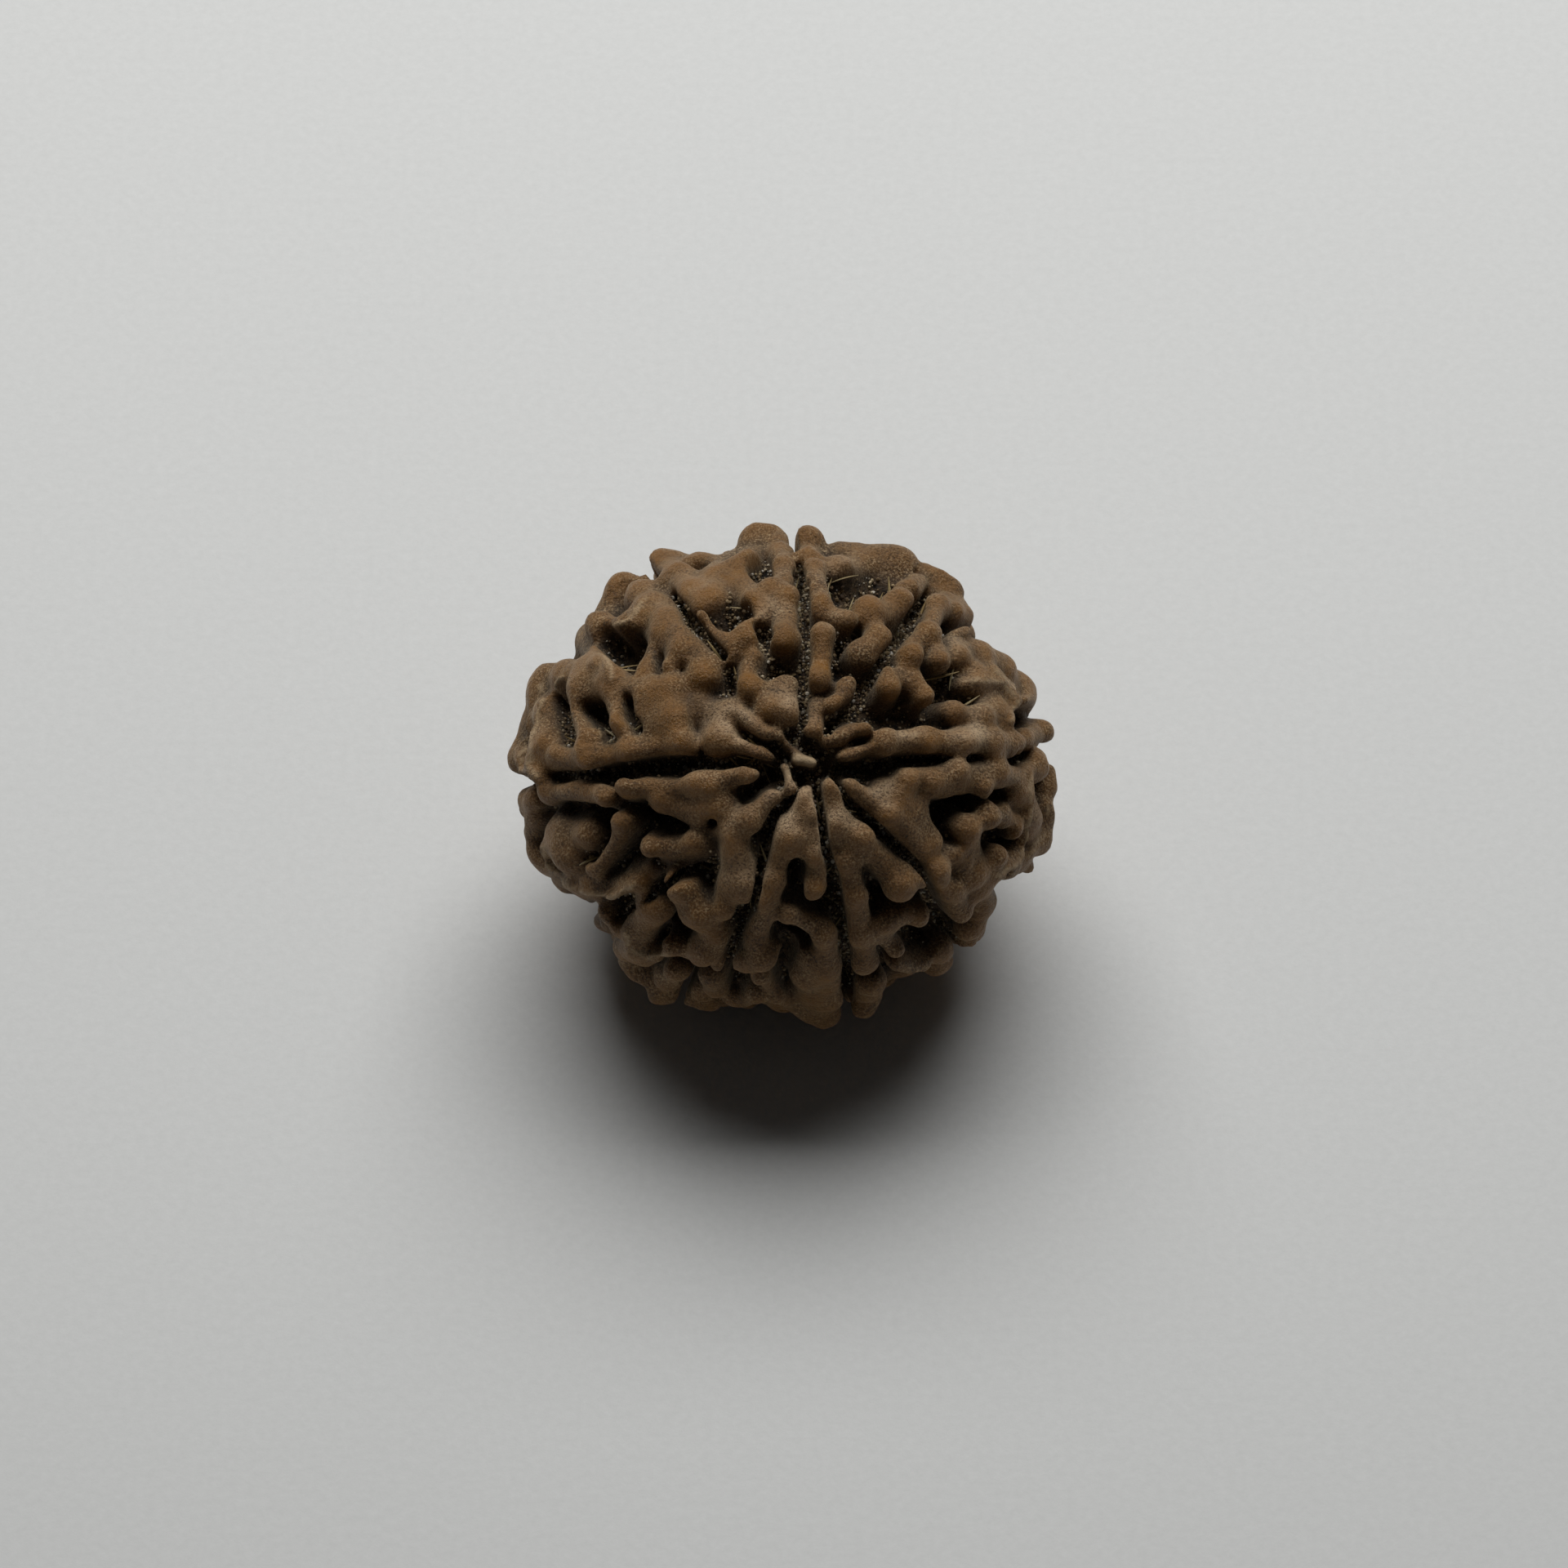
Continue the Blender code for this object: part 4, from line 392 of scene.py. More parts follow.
# Between its knobs a ridge is slimmer and lower than traced. Fine ridges have no knobs, and wide ones have
# lower knobs.
# Knobs along each ridge: distance between them, size against the ridge's half-width, and lift over it.
RIDGE_SLIMNESS = 0.96
RIDGE_SINK = 0.1
KNOB_LEAST_WIDTH = 0.33
KNOB_PLAIN_WIDTH = 0.8
KNOB_PLAIN_SHARE = 0.35
KNOB_GAPS = (1.8, 3.2)
KNOB_SIZES = (0.95, 1.2)
KNOB_RADII = (0.32, 0.95)
KNOB_LIFTS = (0.0, 0.22)
KNOB_END_LIFTS = (0.12, 0.36)
KNOB_SIDE = 0.35
KNOB_ROUNDING = 0.42
LEAST_RUN = 1e-6

# The rims on the seen face's outline are smooth: below this height their knobs stay level.
SMOOTH_RIM_BELOW = 5.0

# Thin raised growth lines on the broad lobes: half-width, lift over the crests, and their course.
LIP_WIDTH = 0.13
LIP_LIFT = 0.16
LIP_PALENESS = 0.5
LIP_PALE_RADIUS = 1.2 * LIP_WIDTH
LIPS = (
    ((-12.6, 4.6), (-13.2, 2.5), (-13.5, 1.3), (-13.5, 0.5), (-12.8, -0.2)),
    ((-11.25, 5.1), (-12.4, 3.8), (-12.7, 2.5), (-12.6, 1.3), (-12.8, 0.6), (-12.4, 0.0)),
    ((12.65, 0.0), (12.6, -2.0), (12.45, -3.5), (12.0, -4.4), (10.8, -5.0)),
    ((13.5, -1.5), (13.65, -2.3), (13.3, -3.1), (12.7, -4.0)),
    ((10.75, 5.4), (12.0, 4.5), (12.4, 3.5)),
    ((9.5, 4.95), (11.2, 4.75), (12.0, 3.8), (11.6, 2.8)),
    ((-12.25, -3.5), (-12.1, -4.5), (-11.2, -5.5), (-9.9, -6.0), (-8.6, -6.1), (-7.4, -5.4)),
    ((-7.9, -7.9), (-7.6, -8.8), (-6.9, -9.1), (-5.9, -9.0)),
    ((-7.0, 8.95), (-7.8, 8.0), (-8.7, 7.6), (-9.0, 6.8), (-8.7, 5.7), (-8.5, 4.9)),
)

# Random relief: distance between bumps, height on the crests, and height in the crevices, which set in
# between these depths under the crests.
RELIEF = ((1.9, 0.18, 0.16), (0.8, 0.09, 0.12), (0.36, 0.045, 0.1))
CREVICE_DEPTHS = (0.9, 2.0)

# Low fills between the ridges of the left lobe, in the same form as the ridges. They take no room from worms.
FINE_WEBS = (
    (0.8, 0.8, -0.3, (-11.1, 3.8), (-11.0, 1.8)),
    (0.7, 0.6, -0.25, (-9.6, 3.9), (-9.7, 3.0), (-9.5, 1.9)),
    (0.7, 0.7, -0.25, (-8.2, 3.6), (-7.8, 2.9), (-7.6, 2.2)),
    (0.9, 0.9, -0.2, (-6.8, 3.3), (-6.2, 2.4)),
)

# A spot's look reaches this many radii out, and falls off at this rate.
SPOT_REACH = 1.8
SPOT_FALL = 1.6

# Places on the seen face where the crests are rubbed down to amber: x, y and radius. Knobs are rubbed too.
WORN_SPOTS = (
    (-8.0, -0.7, 0.8), (-8.7, 1.0, 0.8), (-5.5, 1.3, 0.9), (-9.9, -0.8, 0.6), (-10.7, -3.5, 0.8),
    (-8.3, -3.7, 0.6), (-6.3, -3.6, 0.6), (8.0, -5.4, 0.7), (6.2, -5.2, 0.7), (6.9, -7.0, 0.6),
    (1.8, -5.3, 0.6), (-3.5, -7.8, 0.7), (-2.6, -9.7, 0.6), (5.5, 4.5, 0.9), (6.4, 6.2, 0.7),
    (2.0, 5.8, 0.9), (0.2, 7.0, 0.8), (-4.0, 5.2, 0.9), (-1.7, 5.0, 0.8), (-4.3, -0.4, 0.7),
)
WORN_SHIFT = (0.0, -0.3, 0.0)
WORN_KNOB_RADII = (1.15, 1.65)
WORN_KNOB_SHARES = (0.45, 1.0)

# The stub at the pole is pale: x, y and radius, and their height over the crests.
PALE_SPOTS = ((0.8, 0.85, 0.45), (1.2, 0.78, 0.45), (1.5, 0.7, 0.45), (0.3, 0.1, 0.35))
STUB_HEIGHT = -0.6

# Places on the seen face that keep a pale dusty film, partly painted light that brightens them: x, y, radius
# and how thick it is.
DUST_AND_LIGHT_SPOTS = (
    (0.9, -2.2, 2.8, 1.0), (-3.2, -2.4, 2.0, 0.5), (-2.8, 2.4, 1.6, 1.0), (3.0, -2.0, 1.5, 0.6),
    (-2.0, -4.4, 1.9, 1.0), (0.6, 3.6, 1.4, 0.6), (-4.6, 9.8, 2.2, 0.4), (-0.9, 8.6, 1.4, 0.4),
    (3.8, 10.6, 2.0, 0.8), (9.6, 4.6, 2.0, 0.4), (-9.4, 5.6, 1.8, 0.4), (-11.0, -3.6, 1.8, 0.2),
    (8.4, -3.4, 1.8, 0.3), (5.4, -0.6, 1.4, 0.7), (2.6, 7.6, 1.0, 0.7), (9.0, 6.6, 1.0, 0.4),
    (9.5, 1.9, 1.6, 0.9), (6.2, 1.9, 1.2, 0.7), (-4.6, -0.4, 1.0, 0.3), (0.4, -7.4, 1.2, 0.4),
)

# Loose grains in the crevices: how many, their radii, and where on the seen face they lie thick: x, y and
# radius, which is spread a little, at two depths.
GRAIN_COUNT = 9600
GRAIN_RADII = (0.055, 0.17)
CRUMB_SPOTS = (
    (-4.2, 10.4, 0.8), (-1.0, 10.2, 0.9), (-1.9, 8.4, 1.1), (-0.9, 6.8, 0.6), (-7.4, 8.8, 0.6),
    (4.0, 8.9, 1.4), (3.2, 9.6, 1.0), (4.7, 9.5, 0.9), (2.6, 7.4, 0.7), (0.5, 2.0, 0.8), (1.4, 1.8, 0.6),
    (0.6, 0.0, 0.9), (2.9, 0.6, 0.6), (-0.7, -3.3, 0.7), (1.0, -0.2, 0.5), (1.6, -0.7, 0.4),
    (0.4, -1.0, 0.4), (-6.8, 2.2, 0.6), (-8.4, 2.3, 0.7), (-10.6, 2.4, 0.8), (8.3, 4.4, 1.0),
    (9.6, 3.1, 0.6), (-2.2, 0.9, 0.9), (-3.6, 0.3, 0.8), (-3.0, 5.2, 0.7), (-0.4, 5.2, 0.8),
    (1.5, 3.2, 0.6), (-9.4, -3.4, 0.5),
)
CRUMB_SPREAD = 1.4
CRUMB_DEPTHS = (1.2, 2.2)

# They lie along the grooves too: radius, strength, places on each piece of a groove, least depth, and how far
# over the groove's bottom.
GROOVE_CRUMB_RADIUS = 0.8
GROOVE_CRUMB_STRENGTH = 0.9
GROOVE_CRUMB_PLACES = 5
GROOVE_CRUMB_DEPTH = 1.3
GROOVE_CRUMB_OVER = 0.3

# Elsewhere grains lie in crevices only: how closed in and how deep a place has to be, and how many lie there.
CREVICE_HOLLOW = (0.5, 0.62)
CREVICE_SETS_IN = (0.8, 1.8)
CREVICE_ENDS = (4.2, 3.2)
CREVICE_SHARE = 0.06
CRUMB_HOLLOW = (0.47, 0.56)
CRUMB_SETS_IN = (0.6, 1.2)

# Each grain is a lumpy ball, pressed flatter on each axis, that stands out by a share of its radius.
GRAIN_LUMPS = (0.75, 1.1)
GRAIN_FLATNESS = (0.6, 1.0)
GRAIN_RISE = 0.4
LONGEST_EDGE = 2.1

# Straw fibres on the seen face: x, y and heading in degrees. Strays lie in any crevice.
FIBRES = (
    (-8.2, 5.3, 30), (-7.6, 5.7, 15), (3.2, 9.3, 50), (4.4, 8.4, 20), (8.5, 5.0, 70), (9.3, 3.4, 40),
    (-2.2, 5.2, 100), (-9.6, -4.1, 200), (7.0, 8.3, 60), (-7.5, 2.3, 40), (2.9, 8.8, 120), (3.6, 8.2, 160),
    (2.7, 9.2, 80), (3.4, 8.7, 30), (4.0, 9.2, 140), (4.6, 8.9, 60), (5.0, 9.3, 100), (3.7, 9.5, 10),
    (4.3, 8.6, 170), (3.0, 8.4, 45), (5.3, 9.0, 20), (4.8, 9.6, 75), (-2.6, 8.2, 10), (7.7, 5.4, 10),
    (0.6, 9.1, 80), (-3.4, 6.0, 140),
)
FIBRE_STRAYS = 46
FIBRE_DEPTH = 1.0
FIBRE_RADIUS = 0.06
FIBRE_THICKNESS = (0.7, 1.3)
FIBRE_LENGTHS = (0.8, 1.9)
FIBRE_BENDS = (-0.35, 0.35)
FIBRE_LIFTS = (0.05, 0.3)
FIBRE_LIFT_SHARE = 0.8
FIBRE_LIES_FLAT = 0.6
FIBRE_POINTS = 9
FIBRE_SIDES = 5
FIBRE_TIP_ANGLE = 0.25
FIBRE_ASIDE = (0.31, 0.52, 0.8)

# Noise in the looks: distance between its bumps in millimetres, detail, roughness, and where it is read.
NOISES = {
    "patches": (3.0, 3.0, 0.55, 0.0),
    "mottle": (0.8, 3.0, 0.55, 0.1),
    "speckle": (0.12, 3.0, 0.7, 0.2),
    "rubbing": (0.5, 2.0, 0.55, 0.3),
    "lumps": (0.4, 5.0, 0.7, 0.4),
    "soil_and_shade": (0.3, 3.0, 0.55, 0.5),
    "dust_and_light": (1.1, 4.0, 0.6, 0.6),
    "painted_light_film": (0.7, 4.0, 0.7, 0.7),
    "speckle_patches": (1.6, 3.0, 0.55, 0.8),
    "crumb_mottle": (0.08, 2.0, 0.55, 0.0),
    "crumb_grain": (0.05, 2.0, 0.55, 0.0),
    "paper": (0.5, 4.0, 0.7, 0.0),
}
PATCH_SHARE = 0.5

# How a value becomes a share: the value that it goes from and to, and the share at each end.
RANGES = {
    "hollow": (0.3, 0.68, 0.0, 1.0),
    "mottle": (0.4, 0.7, 0.0, 0.5),
    "dust_and_light": (0.3, 0.6, 0.5, 1.0),
    "faces_back": (0.2, 0.8, 0.0, 1.0),
    "painted_light_film": (0.3, 0.65, 0.0, 0.55),
    "faces_front": (0.0, -0.65, 0.0, 0.7),
    "speckle_patches": (0.38, 0.62, 0.25, 1.0),
    "pale_grains": (0.5, 0.64, 0.0, 0.85),
    "dark_grains": (0.5, 0.38, 0.0, 0.75),
    "rubbing": (0.3, 0.62, 0.6, 1.0),
    "sunk_shade": (0.3, 1.45, 0.0, 0.86),
    "closed_in": (0.45, 0.58, 0.0, 1.0),
    "crevice_depth": (0.6, 1.5, 0.0, 1.0),
    "basin": (0.3, 0.6, 0.0, 1.0),
    "basin_depth": (0.7, 1.3, 0.0, 1.0),
    "soil_and_shade": (0.4, 0.65, 0.0, 1.0),
    "crumb_core": (0.32, 0.2, 0.0, 1.0),
    "crumb_depth": (0.9, 1.8, 0.0, 1.0),
    "crumb_choice": (0.55, 0.75, 0.0, 1.0),
    "gloss": (0.0, 1.0, 0.58, 0.3),
}

# Fine relief in the looks: height in millimetres and strength.
BUMPS = {
    "speckle": (0.09, 1.0),
    "lumps": (0.2, 0.85),
    "crumbs": (0.15, 0.6),
    "crumb_grain": (0.02, 0.5),
    "paper": (0.05, 0.25),
}

# Colours are linear red, green and blue. The stone's run from its crests down into its hollows, darker there
# as painted shade.
STONE_AND_SHADE_STOPS = (
    (0.0, (0.22, 0.103, 0.025)), (0.3, (0.205, 0.105, 0.032)), (0.5, (0.16, 0.09, 0.035)),
    (0.72, (0.068, 0.038, 0.014)), (1.0, (0.02, 0.01, 0.004)),
)
# Some of these tones are painted light and shade: the pale film is painted light, the dark amber for slopes
# facing front and the dark brown for deep places are painted shade, the near-black and brown soils are soil
# and painted shade, and the pale dust is partly painted light.
TONES = {
    "mottle": (0.085, 0.046, 0.018),
    "dust_and_light": (0.7, 0.51, 0.32),
    "painted_light_film": (0.29, 0.2, 0.115),
    "painted_front_shade": (0.17, 0.074, 0.011),
    "pale_grain": (0.5, 0.36, 0.2),
    "dark_grain": (0.03, 0.017, 0.006),
    "amber": (0.27, 0.115, 0.014),
    "pale": (0.66, 0.48, 0.28),
    "sunk_shade": (0.038, 0.021, 0.009),
    "soil_and_shade_black": (0.008, 0.005, 0.003),
    "soil_and_shade_brown": (0.1, 0.062, 0.03),
    "crumb": (0.42, 0.3, 0.16),
    "crumb_mottle": (0.1, 0.065, 0.04),
    "sheen": (0.95, 0.75, 0.5),
}
CRUMB_MM = 0.2
CRUMB_STRENGTH = 0.75
CREVICE_ROUGHNESS = 0.3
GRAIN_STOPS = (
    (0.0, (0.05, 0.03, 0.014)), (0.25, (0.22, 0.14, 0.06)), (0.55, (0.55, 0.4, 0.2)),
    (0.8, (0.8, 0.66, 0.42)), (1.0, (0.95, 0.92, 0.82)),
)
GRAIN_ROUGHNESS = 0.7
FIBRE_STOPS = ((0.0, (0.5, 0.34, 0.12)), (0.5, (0.75, 0.57, 0.25)), (1.0, (0.9, 0.78, 0.45)))
FIBRE_ROUGHNESS = 0.45
PAPER_STOPS = ((0.3, (0.735, 0.74, 0.725)), (0.7, (0.78, 0.785, 0.77)))

# The stage in metres: the paper's half size, and a soft light behind and above the bead.
PAPER_HALF = 0.9
SOFTBOX_PLACE = (0.0, 0.18, 0.306)
SOFTBOX_SIZE = (0.36, 0.24)
SOFTBOX_WATTS = 1.26
ROOM_COLOUR = (0.95, 0.97, 1.0, 1.0)
ROOM_STRENGTH = 0.018

# The photograph: picture size, the outline's centre in it, its scale, and the camera's height angle.
PICTURE_PX = 1920
CENTRE_PX = (958, 951)
PX_PER_MM = 24
CAMERA_HEIGHT_ANGLE = math.radians(54.0)
CAMERA_DISTANCE = 400 * MM
CAMERA_NEAREST = 10 * MM
SENSOR_MM = 36.0

# How closed in a place is, is averaged over these distances.
NEAR_REACH = 0.45
WIDE_REACH = 0.9


def unit(vector):
    return vector / np.linalg.norm(vector)


def outward(point):
    """The crest ellipsoid's outward direction at a point."""
    return unit(point / CREST**2)


def raised(x, y, height):
    """The point over (x, y) on the ellipsoid that lies this far over the crests, or at its widest."""
    half = CREST + height
    inside = 1.0 - (x / half[0]) ** 2 - (y / half[1]) ** 2
    return np.array((x, y, half[2] * math.sqrt(max(inside, 0.0))))


def polar_frame():
    """The bead's own axis, and two directions across it, in the plan frame."""
    axis = unit(raised(POLE[0], POLE[1], 0.0))
    east = unit(np.array((1.0, 0.0, 0.0)) - axis[0] * axis)
    return axis, east, np.cross(axis, east)


def on_bead(azimuth, polar, height):
    """The point at these angles from the bead's axis, this far over the crests."""
    axis, east, north = polar_frame()
    across = math.cos(azimuth) * east + math.sin(azimuth) * north
    direction = math.cos(polar) * axis + math.sin(polar) * across
    return direction / np.linalg.norm(direction / (CREST + height))


def cap_height(half_width):
    return min(half_width, CAP_MOST)


class Stroke:
    """A line of 3D points with a half-width at each."""

    def __init__(self, points, widths):
        self.points = [np.asarray(point, float) for point in points]
        self.widths = list(widths)


def pole_dip(x, y):
    away = math.hypot(x - POLE[0], y - POLE[1])
    return POLE_DIP * math.exp(-((away / POLE_DIP_RADIUS) ** 2))


def traced_ridge(start_width, end_width, lift, *plan):
    widths = np.linspace(start_width, end_width, len(plan))
    points = [raised(x, y, lift - pole_dip(x, y) - cap_height(width)) for (x, y), width in zip(plan, widths)]
    return Stroke(points, widths)


def traced_cut(half_width, depth, *plan):
    """The line along which a round-bottomed slot of this depth ends.

    Past the widest part of the bottom's own ellipsoid it is drawn in, so that the slot keeps its floor."""
    half = CREST + half_width - depth
    points = []
    for x, y in plan:
        past = max(math.hypot(x / half[0], y / half[1]), 1.0)
        points.append(raised(x / past, y / past, half_width - depth))
    return Stroke(points, [half_width] * len(plan))


def inside_outline(points):
    """How far each point lies inside the outline, seen along z, below zero outside it."""
    ends = np.array(OUTLINE)
    starts = np.roll(ends, 1, axis=0)
    runs = ends - starts
    plan = np.array(points)[:, None, :2]
    along = np.clip(((plan - starts) * runs).sum(axis=2) / (runs * runs).sum(axis=1), 0.0, 1.0)
    nearest = np.linalg.norm(plan - starts - along[..., None] * runs, axis=2).min(axis=1)
    above = (starts[:, 1] > plan[..., 1]) != (ends[:, 1] > plan[..., 1])
    rise = np.where(runs[:, 1] == 0.0, 1.0, runs[:, 1])
    crossing = starts[:, 0] + (plan[..., 1] - starts[:, 1]) * runs[:, 0] / rise
    inside = (above & (plan[..., 0] < crossing)).sum(axis=1) % 2 == 1
    return np.where(inside, nearest, -nearest)


def drawn_in(stroke):
    """The stroke with each point that would show past the outline moved towards the bead's centre."""
    points = np.array(stroke.points)
    for _ in range(DRAW_IN_STEPS):
        out = inside_outline(points) < np.array(stroke.widths) - OUTLINE_SLACK
        points[out] *= DRAW_IN_SHARE
    return Stroke(points, stroke.widths)


def rim_ridges(rng):
    """Broken rims along both sides of each groove, from the widest part to the lower pole."""
    ridges = []
    for azimuth, side in itertools.product(MUKHI_AZIMUTHS, (-1, 1)):
        polar = rng.uniform(*RIM_START)
        while polar < RIM_END:
            width = rng.uniform(*RIM_WIDTHS)
            points = []
            for _ in range(RIM_RUN_STEPS):
                radius = max(math.sin(math.radians(polar)) * CREST[0], RIM_LEAST_RADIUS)
                offset = side * (RIM_OFFSET + rng.uniform(*RIM_OFFSET_SPREAD)) / radius
                points.append(on_bead(math.radians(azimuth) + offset, math.radians(polar), -width))
                polar += RIM_STEP
            ridges.append(drawn_in(Stroke(points, [width] * len(points))))
            polar += rng.uniform(*RIM_GAPS)
    return ridges


def worm(rng, width):
    """A short wandering ridge that starts anywhere on the bead."""
    start = unit(rng.normal(size=3))
    heading = unit(np.cross(start, rng.normal(size=3)))
    points = []
    for _ in range(int(rng.integers(1, WORM_MOST_STEPS + 1)) + 1):
        points.append(start / np.linalg.norm(start / (CREST - cap_height(width))))
        start = unit(start + heading * WORM_STEP / CREST[1])
        heading = unit(heading - start.dot(heading) * start)
        turn = rng.uniform(-WORM_TURN, WORM_TURN)
        heading = unit(math.cos(turn) * heading + math.sin(turn) * np.cross(start, heading))
    taper = rng.uniform(*WORM_TAPER)
    return Stroke(points, np.linspace(width, width * taper, len(points)))


def groove_distance(points):
    """How far the nearest of the nine grooves passes from any of these points."""
    axis, east, north = polar_frame()
    nearest = math.inf
    for point in points:
        direction = unit(point)
        azimuth = math.atan2(direction.dot(north), direction.dot(east))
        radius = math.hypot(point.dot(north), point.dot(east))
        for line in MUKHI_AZIMUTHS:
            turn = math.remainder(azimuth - math.radians(line), math.tau)
            nearest = min(nearest, abs(turn) * radius)
    return nearest


def worm_ridges(rng, ridges):
    """Worms that fill the hidden side between the ridges already there, without touching them."""
    centres = np.concatenate([ridge.points for ridge in ridges])
    widths = np.concatenate([ridge.widths for ridge in ridges])
    worms = []
    for turn in range(WORM_TRIES * len(WORM_WIDTHS)):
        candidate = worm(rng, rng.uniform(*WORM_WIDTHS[turn // WORM_TRIES]))
        if max(point[2] for point in candidate.points) > HIDDEN_BELOW:
            continue
        candidate = drawn_in(candidate)
        points = np.array(candidate.points)
        gaps = np.linalg.norm(points[:, None] - centres[None], axis=2)
        room = WORM_SPACING * (np.array(candidate.widths)[:, None] + widths[None])
        if (gaps < room).any() or groove_distance(candidate.points) < GROOVE_CLEARANCE:
            continue
        worms.append(candidate)
        centres = np.concatenate((centres, points))
        widths = np.concatenate((widths, candidate.widths))
    return worms


def hidden_grooves():
    """The nine grooves where they run on round the bead to the lower pole."""
    grooves = []
    polars = np.radians(np.arange(HIDDEN_GROOVE_START, HIDDEN_GROOVE_END, HIDDEN_GROOVE_STEP))
    for azimuth in MUKHI_AZIMUTHS:
        points = [on_bead(math.radians(azimuth), polar, -HIDDEN_GROOVE_DEPTH) for polar in polars]
        grooves.append(Stroke(points, [HIDDEN_GROOVE_WIDTH] * len(points)))
    return grooves


def grid_axes(step):
    return [np.arange(-half - GRID_MARGIN, half + GRID_MARGIN, step, np.float32) for half in CREST]


def near_points(axes, points, reach):
    """Part of the grid round these points, and the places in it."""
    low = np.min(points, axis=0) - reach
    high = np.max(points, axis=0) + reach
    slices = tuple(slice(*np.searchsorted(axis, (a, b))) for axis, a, b in zip(axes, low, high))
    return slices, np.meshgrid(*(axis[part] for axis, part in zip(axes, slices)), indexing="ij")


def near_stroke(axes, stroke, reach):
    """Part of the grid round a stroke, and there the side distance, height and half-width from its line."""
    slices, (x, y, z) = near_points(axes, stroke.points, reach)
    found = []
    points = stroke.points
    for i in range(len(points) - 1):
        start, run = points[i], points[i + 1] - points[i]
        along = (x - start[0]) * run[0] + (y - start[1]) * run[1] + (z - start[2]) * run[2]
        along = np.clip(along / run.dot(run), 0.0, 1.0).astype(np.float32)
        up, turn = outward(start), outward(points[i + 1]) - outward(start)
        away = [place - start[axis] - along * run[axis] for axis, place in enumerate((x, y, z))]
        height = sum(offset * (up[axis] + along * turn[axis]) for axis, offset in enumerate(away))
        side = np.sqrt(np.maximum(sum(offset * offset for offset in away) - height * height, 0.0))
        width = stroke.widths[i] + along * (stroke.widths[i + 1] - stroke.widths[i])
        found.append((side, height, width))
    return slices, found


def soft_min(first, second, rounding):
    """The lower of two fields, with the crease between them rounded."""
    share = np.clip(0.5 + 0.5 * (second - first) / rounding, 0.0, 1.0)
    return second + (first - second) * share - rounding * share * (1.0 - share)


def add_ridge(field, axes, ridge):
    """A rounded crest on walls that reach down to the floor."""
    slices, found = near_stroke(axes, ridge, WALL_DEPTH + ROUNDING)
    shape = np.inf
    for side, height, width in found:
        cap = np.minimum(width, CAP_MOST)
        crest = (np.hypot(side / width, height / cap) - 1.0) * cap
        wall = np.maximum(side - width * (1.0 - WALL_FLARE * height), -height - WALL_DEPTH)
        shape = np.minimum(shape, np.where(height > 0, crest, wall))
    field[slices] = soft_min(field[slices], shape, ROUNDING)


def cut_slot(field, axes, cut, rounding):
    """A slot that is open outwards, with a round bottom along the stroke.

    It is at least one grid step wide on each side, so that its edges come out whole."""
    slices, found = near_stroke(axes, cut, SLOT_REACH)
    least = axes[0][1] - axes[0][0]
    shape = np.inf
    for side, height, width in found:
        shape = np.minimum(shape, np.hypot(side, np.minimum(height, 0.0)) - np.maximum(width, least))
    field[slices] = -soft_min(-field[slices], shape, rounding)


def ellipsoid_field(axes, half):
    """Distance to the surface of an ellipsoid with these half sizes, below zero inside it."""
    x, y, z = np.meshgrid(*axes, indexing="ij")
    scaled = np.sqrt((x / half[0]) ** 2 + (y / half[1]) ** 2 + (z / half[2]) ** 2)
    slope = np.sqrt((x / half[0] ** 2) ** 2 + (y / half[1] ** 2) ** 2 + (z / half[2] ** 2) ** 2)
    return ((scaled - 1.0) * scaled / np.maximum(slope, LEAST_SLOPE)).astype(np.float32)


def foot_ridge():
    """The knob under the bead's centre, which the resting plane cuts flat."""
    below = rest_height() + FOOT_WIDTH - FOOT_WORN
    y, z = below * math.sin(LEAN), below * math.cos(LEAN)
    return Stroke([(-FOOT_REACH, y, z), (FOOT_REACH, y, z)], [FOOT_WIDTH, FOOT_WIDTH])


def softened(field):
    """The field averaged a little with its neighbours, which rounds the sharpest creases."""
    for axis in range(3):
        field = 0.5 * field + 0.25 * (np.roll(field, 1, axis) + np.roll(field, -1, axis))
    return field


def rest_height():
    """The height of the plane that the bead rests on, over the centre of the plan frame."""
    down = np.array((0.0, -math.sin(LEAN), -math.cos(LEAN)))
    return -np.linalg.norm(CREST * down) + FLAT_CUT


def grid_noise(rng, axes, gap):
    """Smooth random values from -1 to 1 over the grid, with this distance between their bumps."""
    values = rng.uniform(-1.0, 1.0, [int(np.ptp(axis) / gap) + 3 for axis in axes]).astype(np.float32)
    for number, axis in enumerate(axes):
        place = (axis - axis[0]) / gap
        low = place.astype(int)
        share = smooth_share(0.0, 1.0, place - low).astype(np.float32)
        share = share.reshape([-1 if other == number else 1 for other in range(3)])
        values = values.take(low, number) * (1.0 - share) + values.take(low + 1, number) * share
    return values


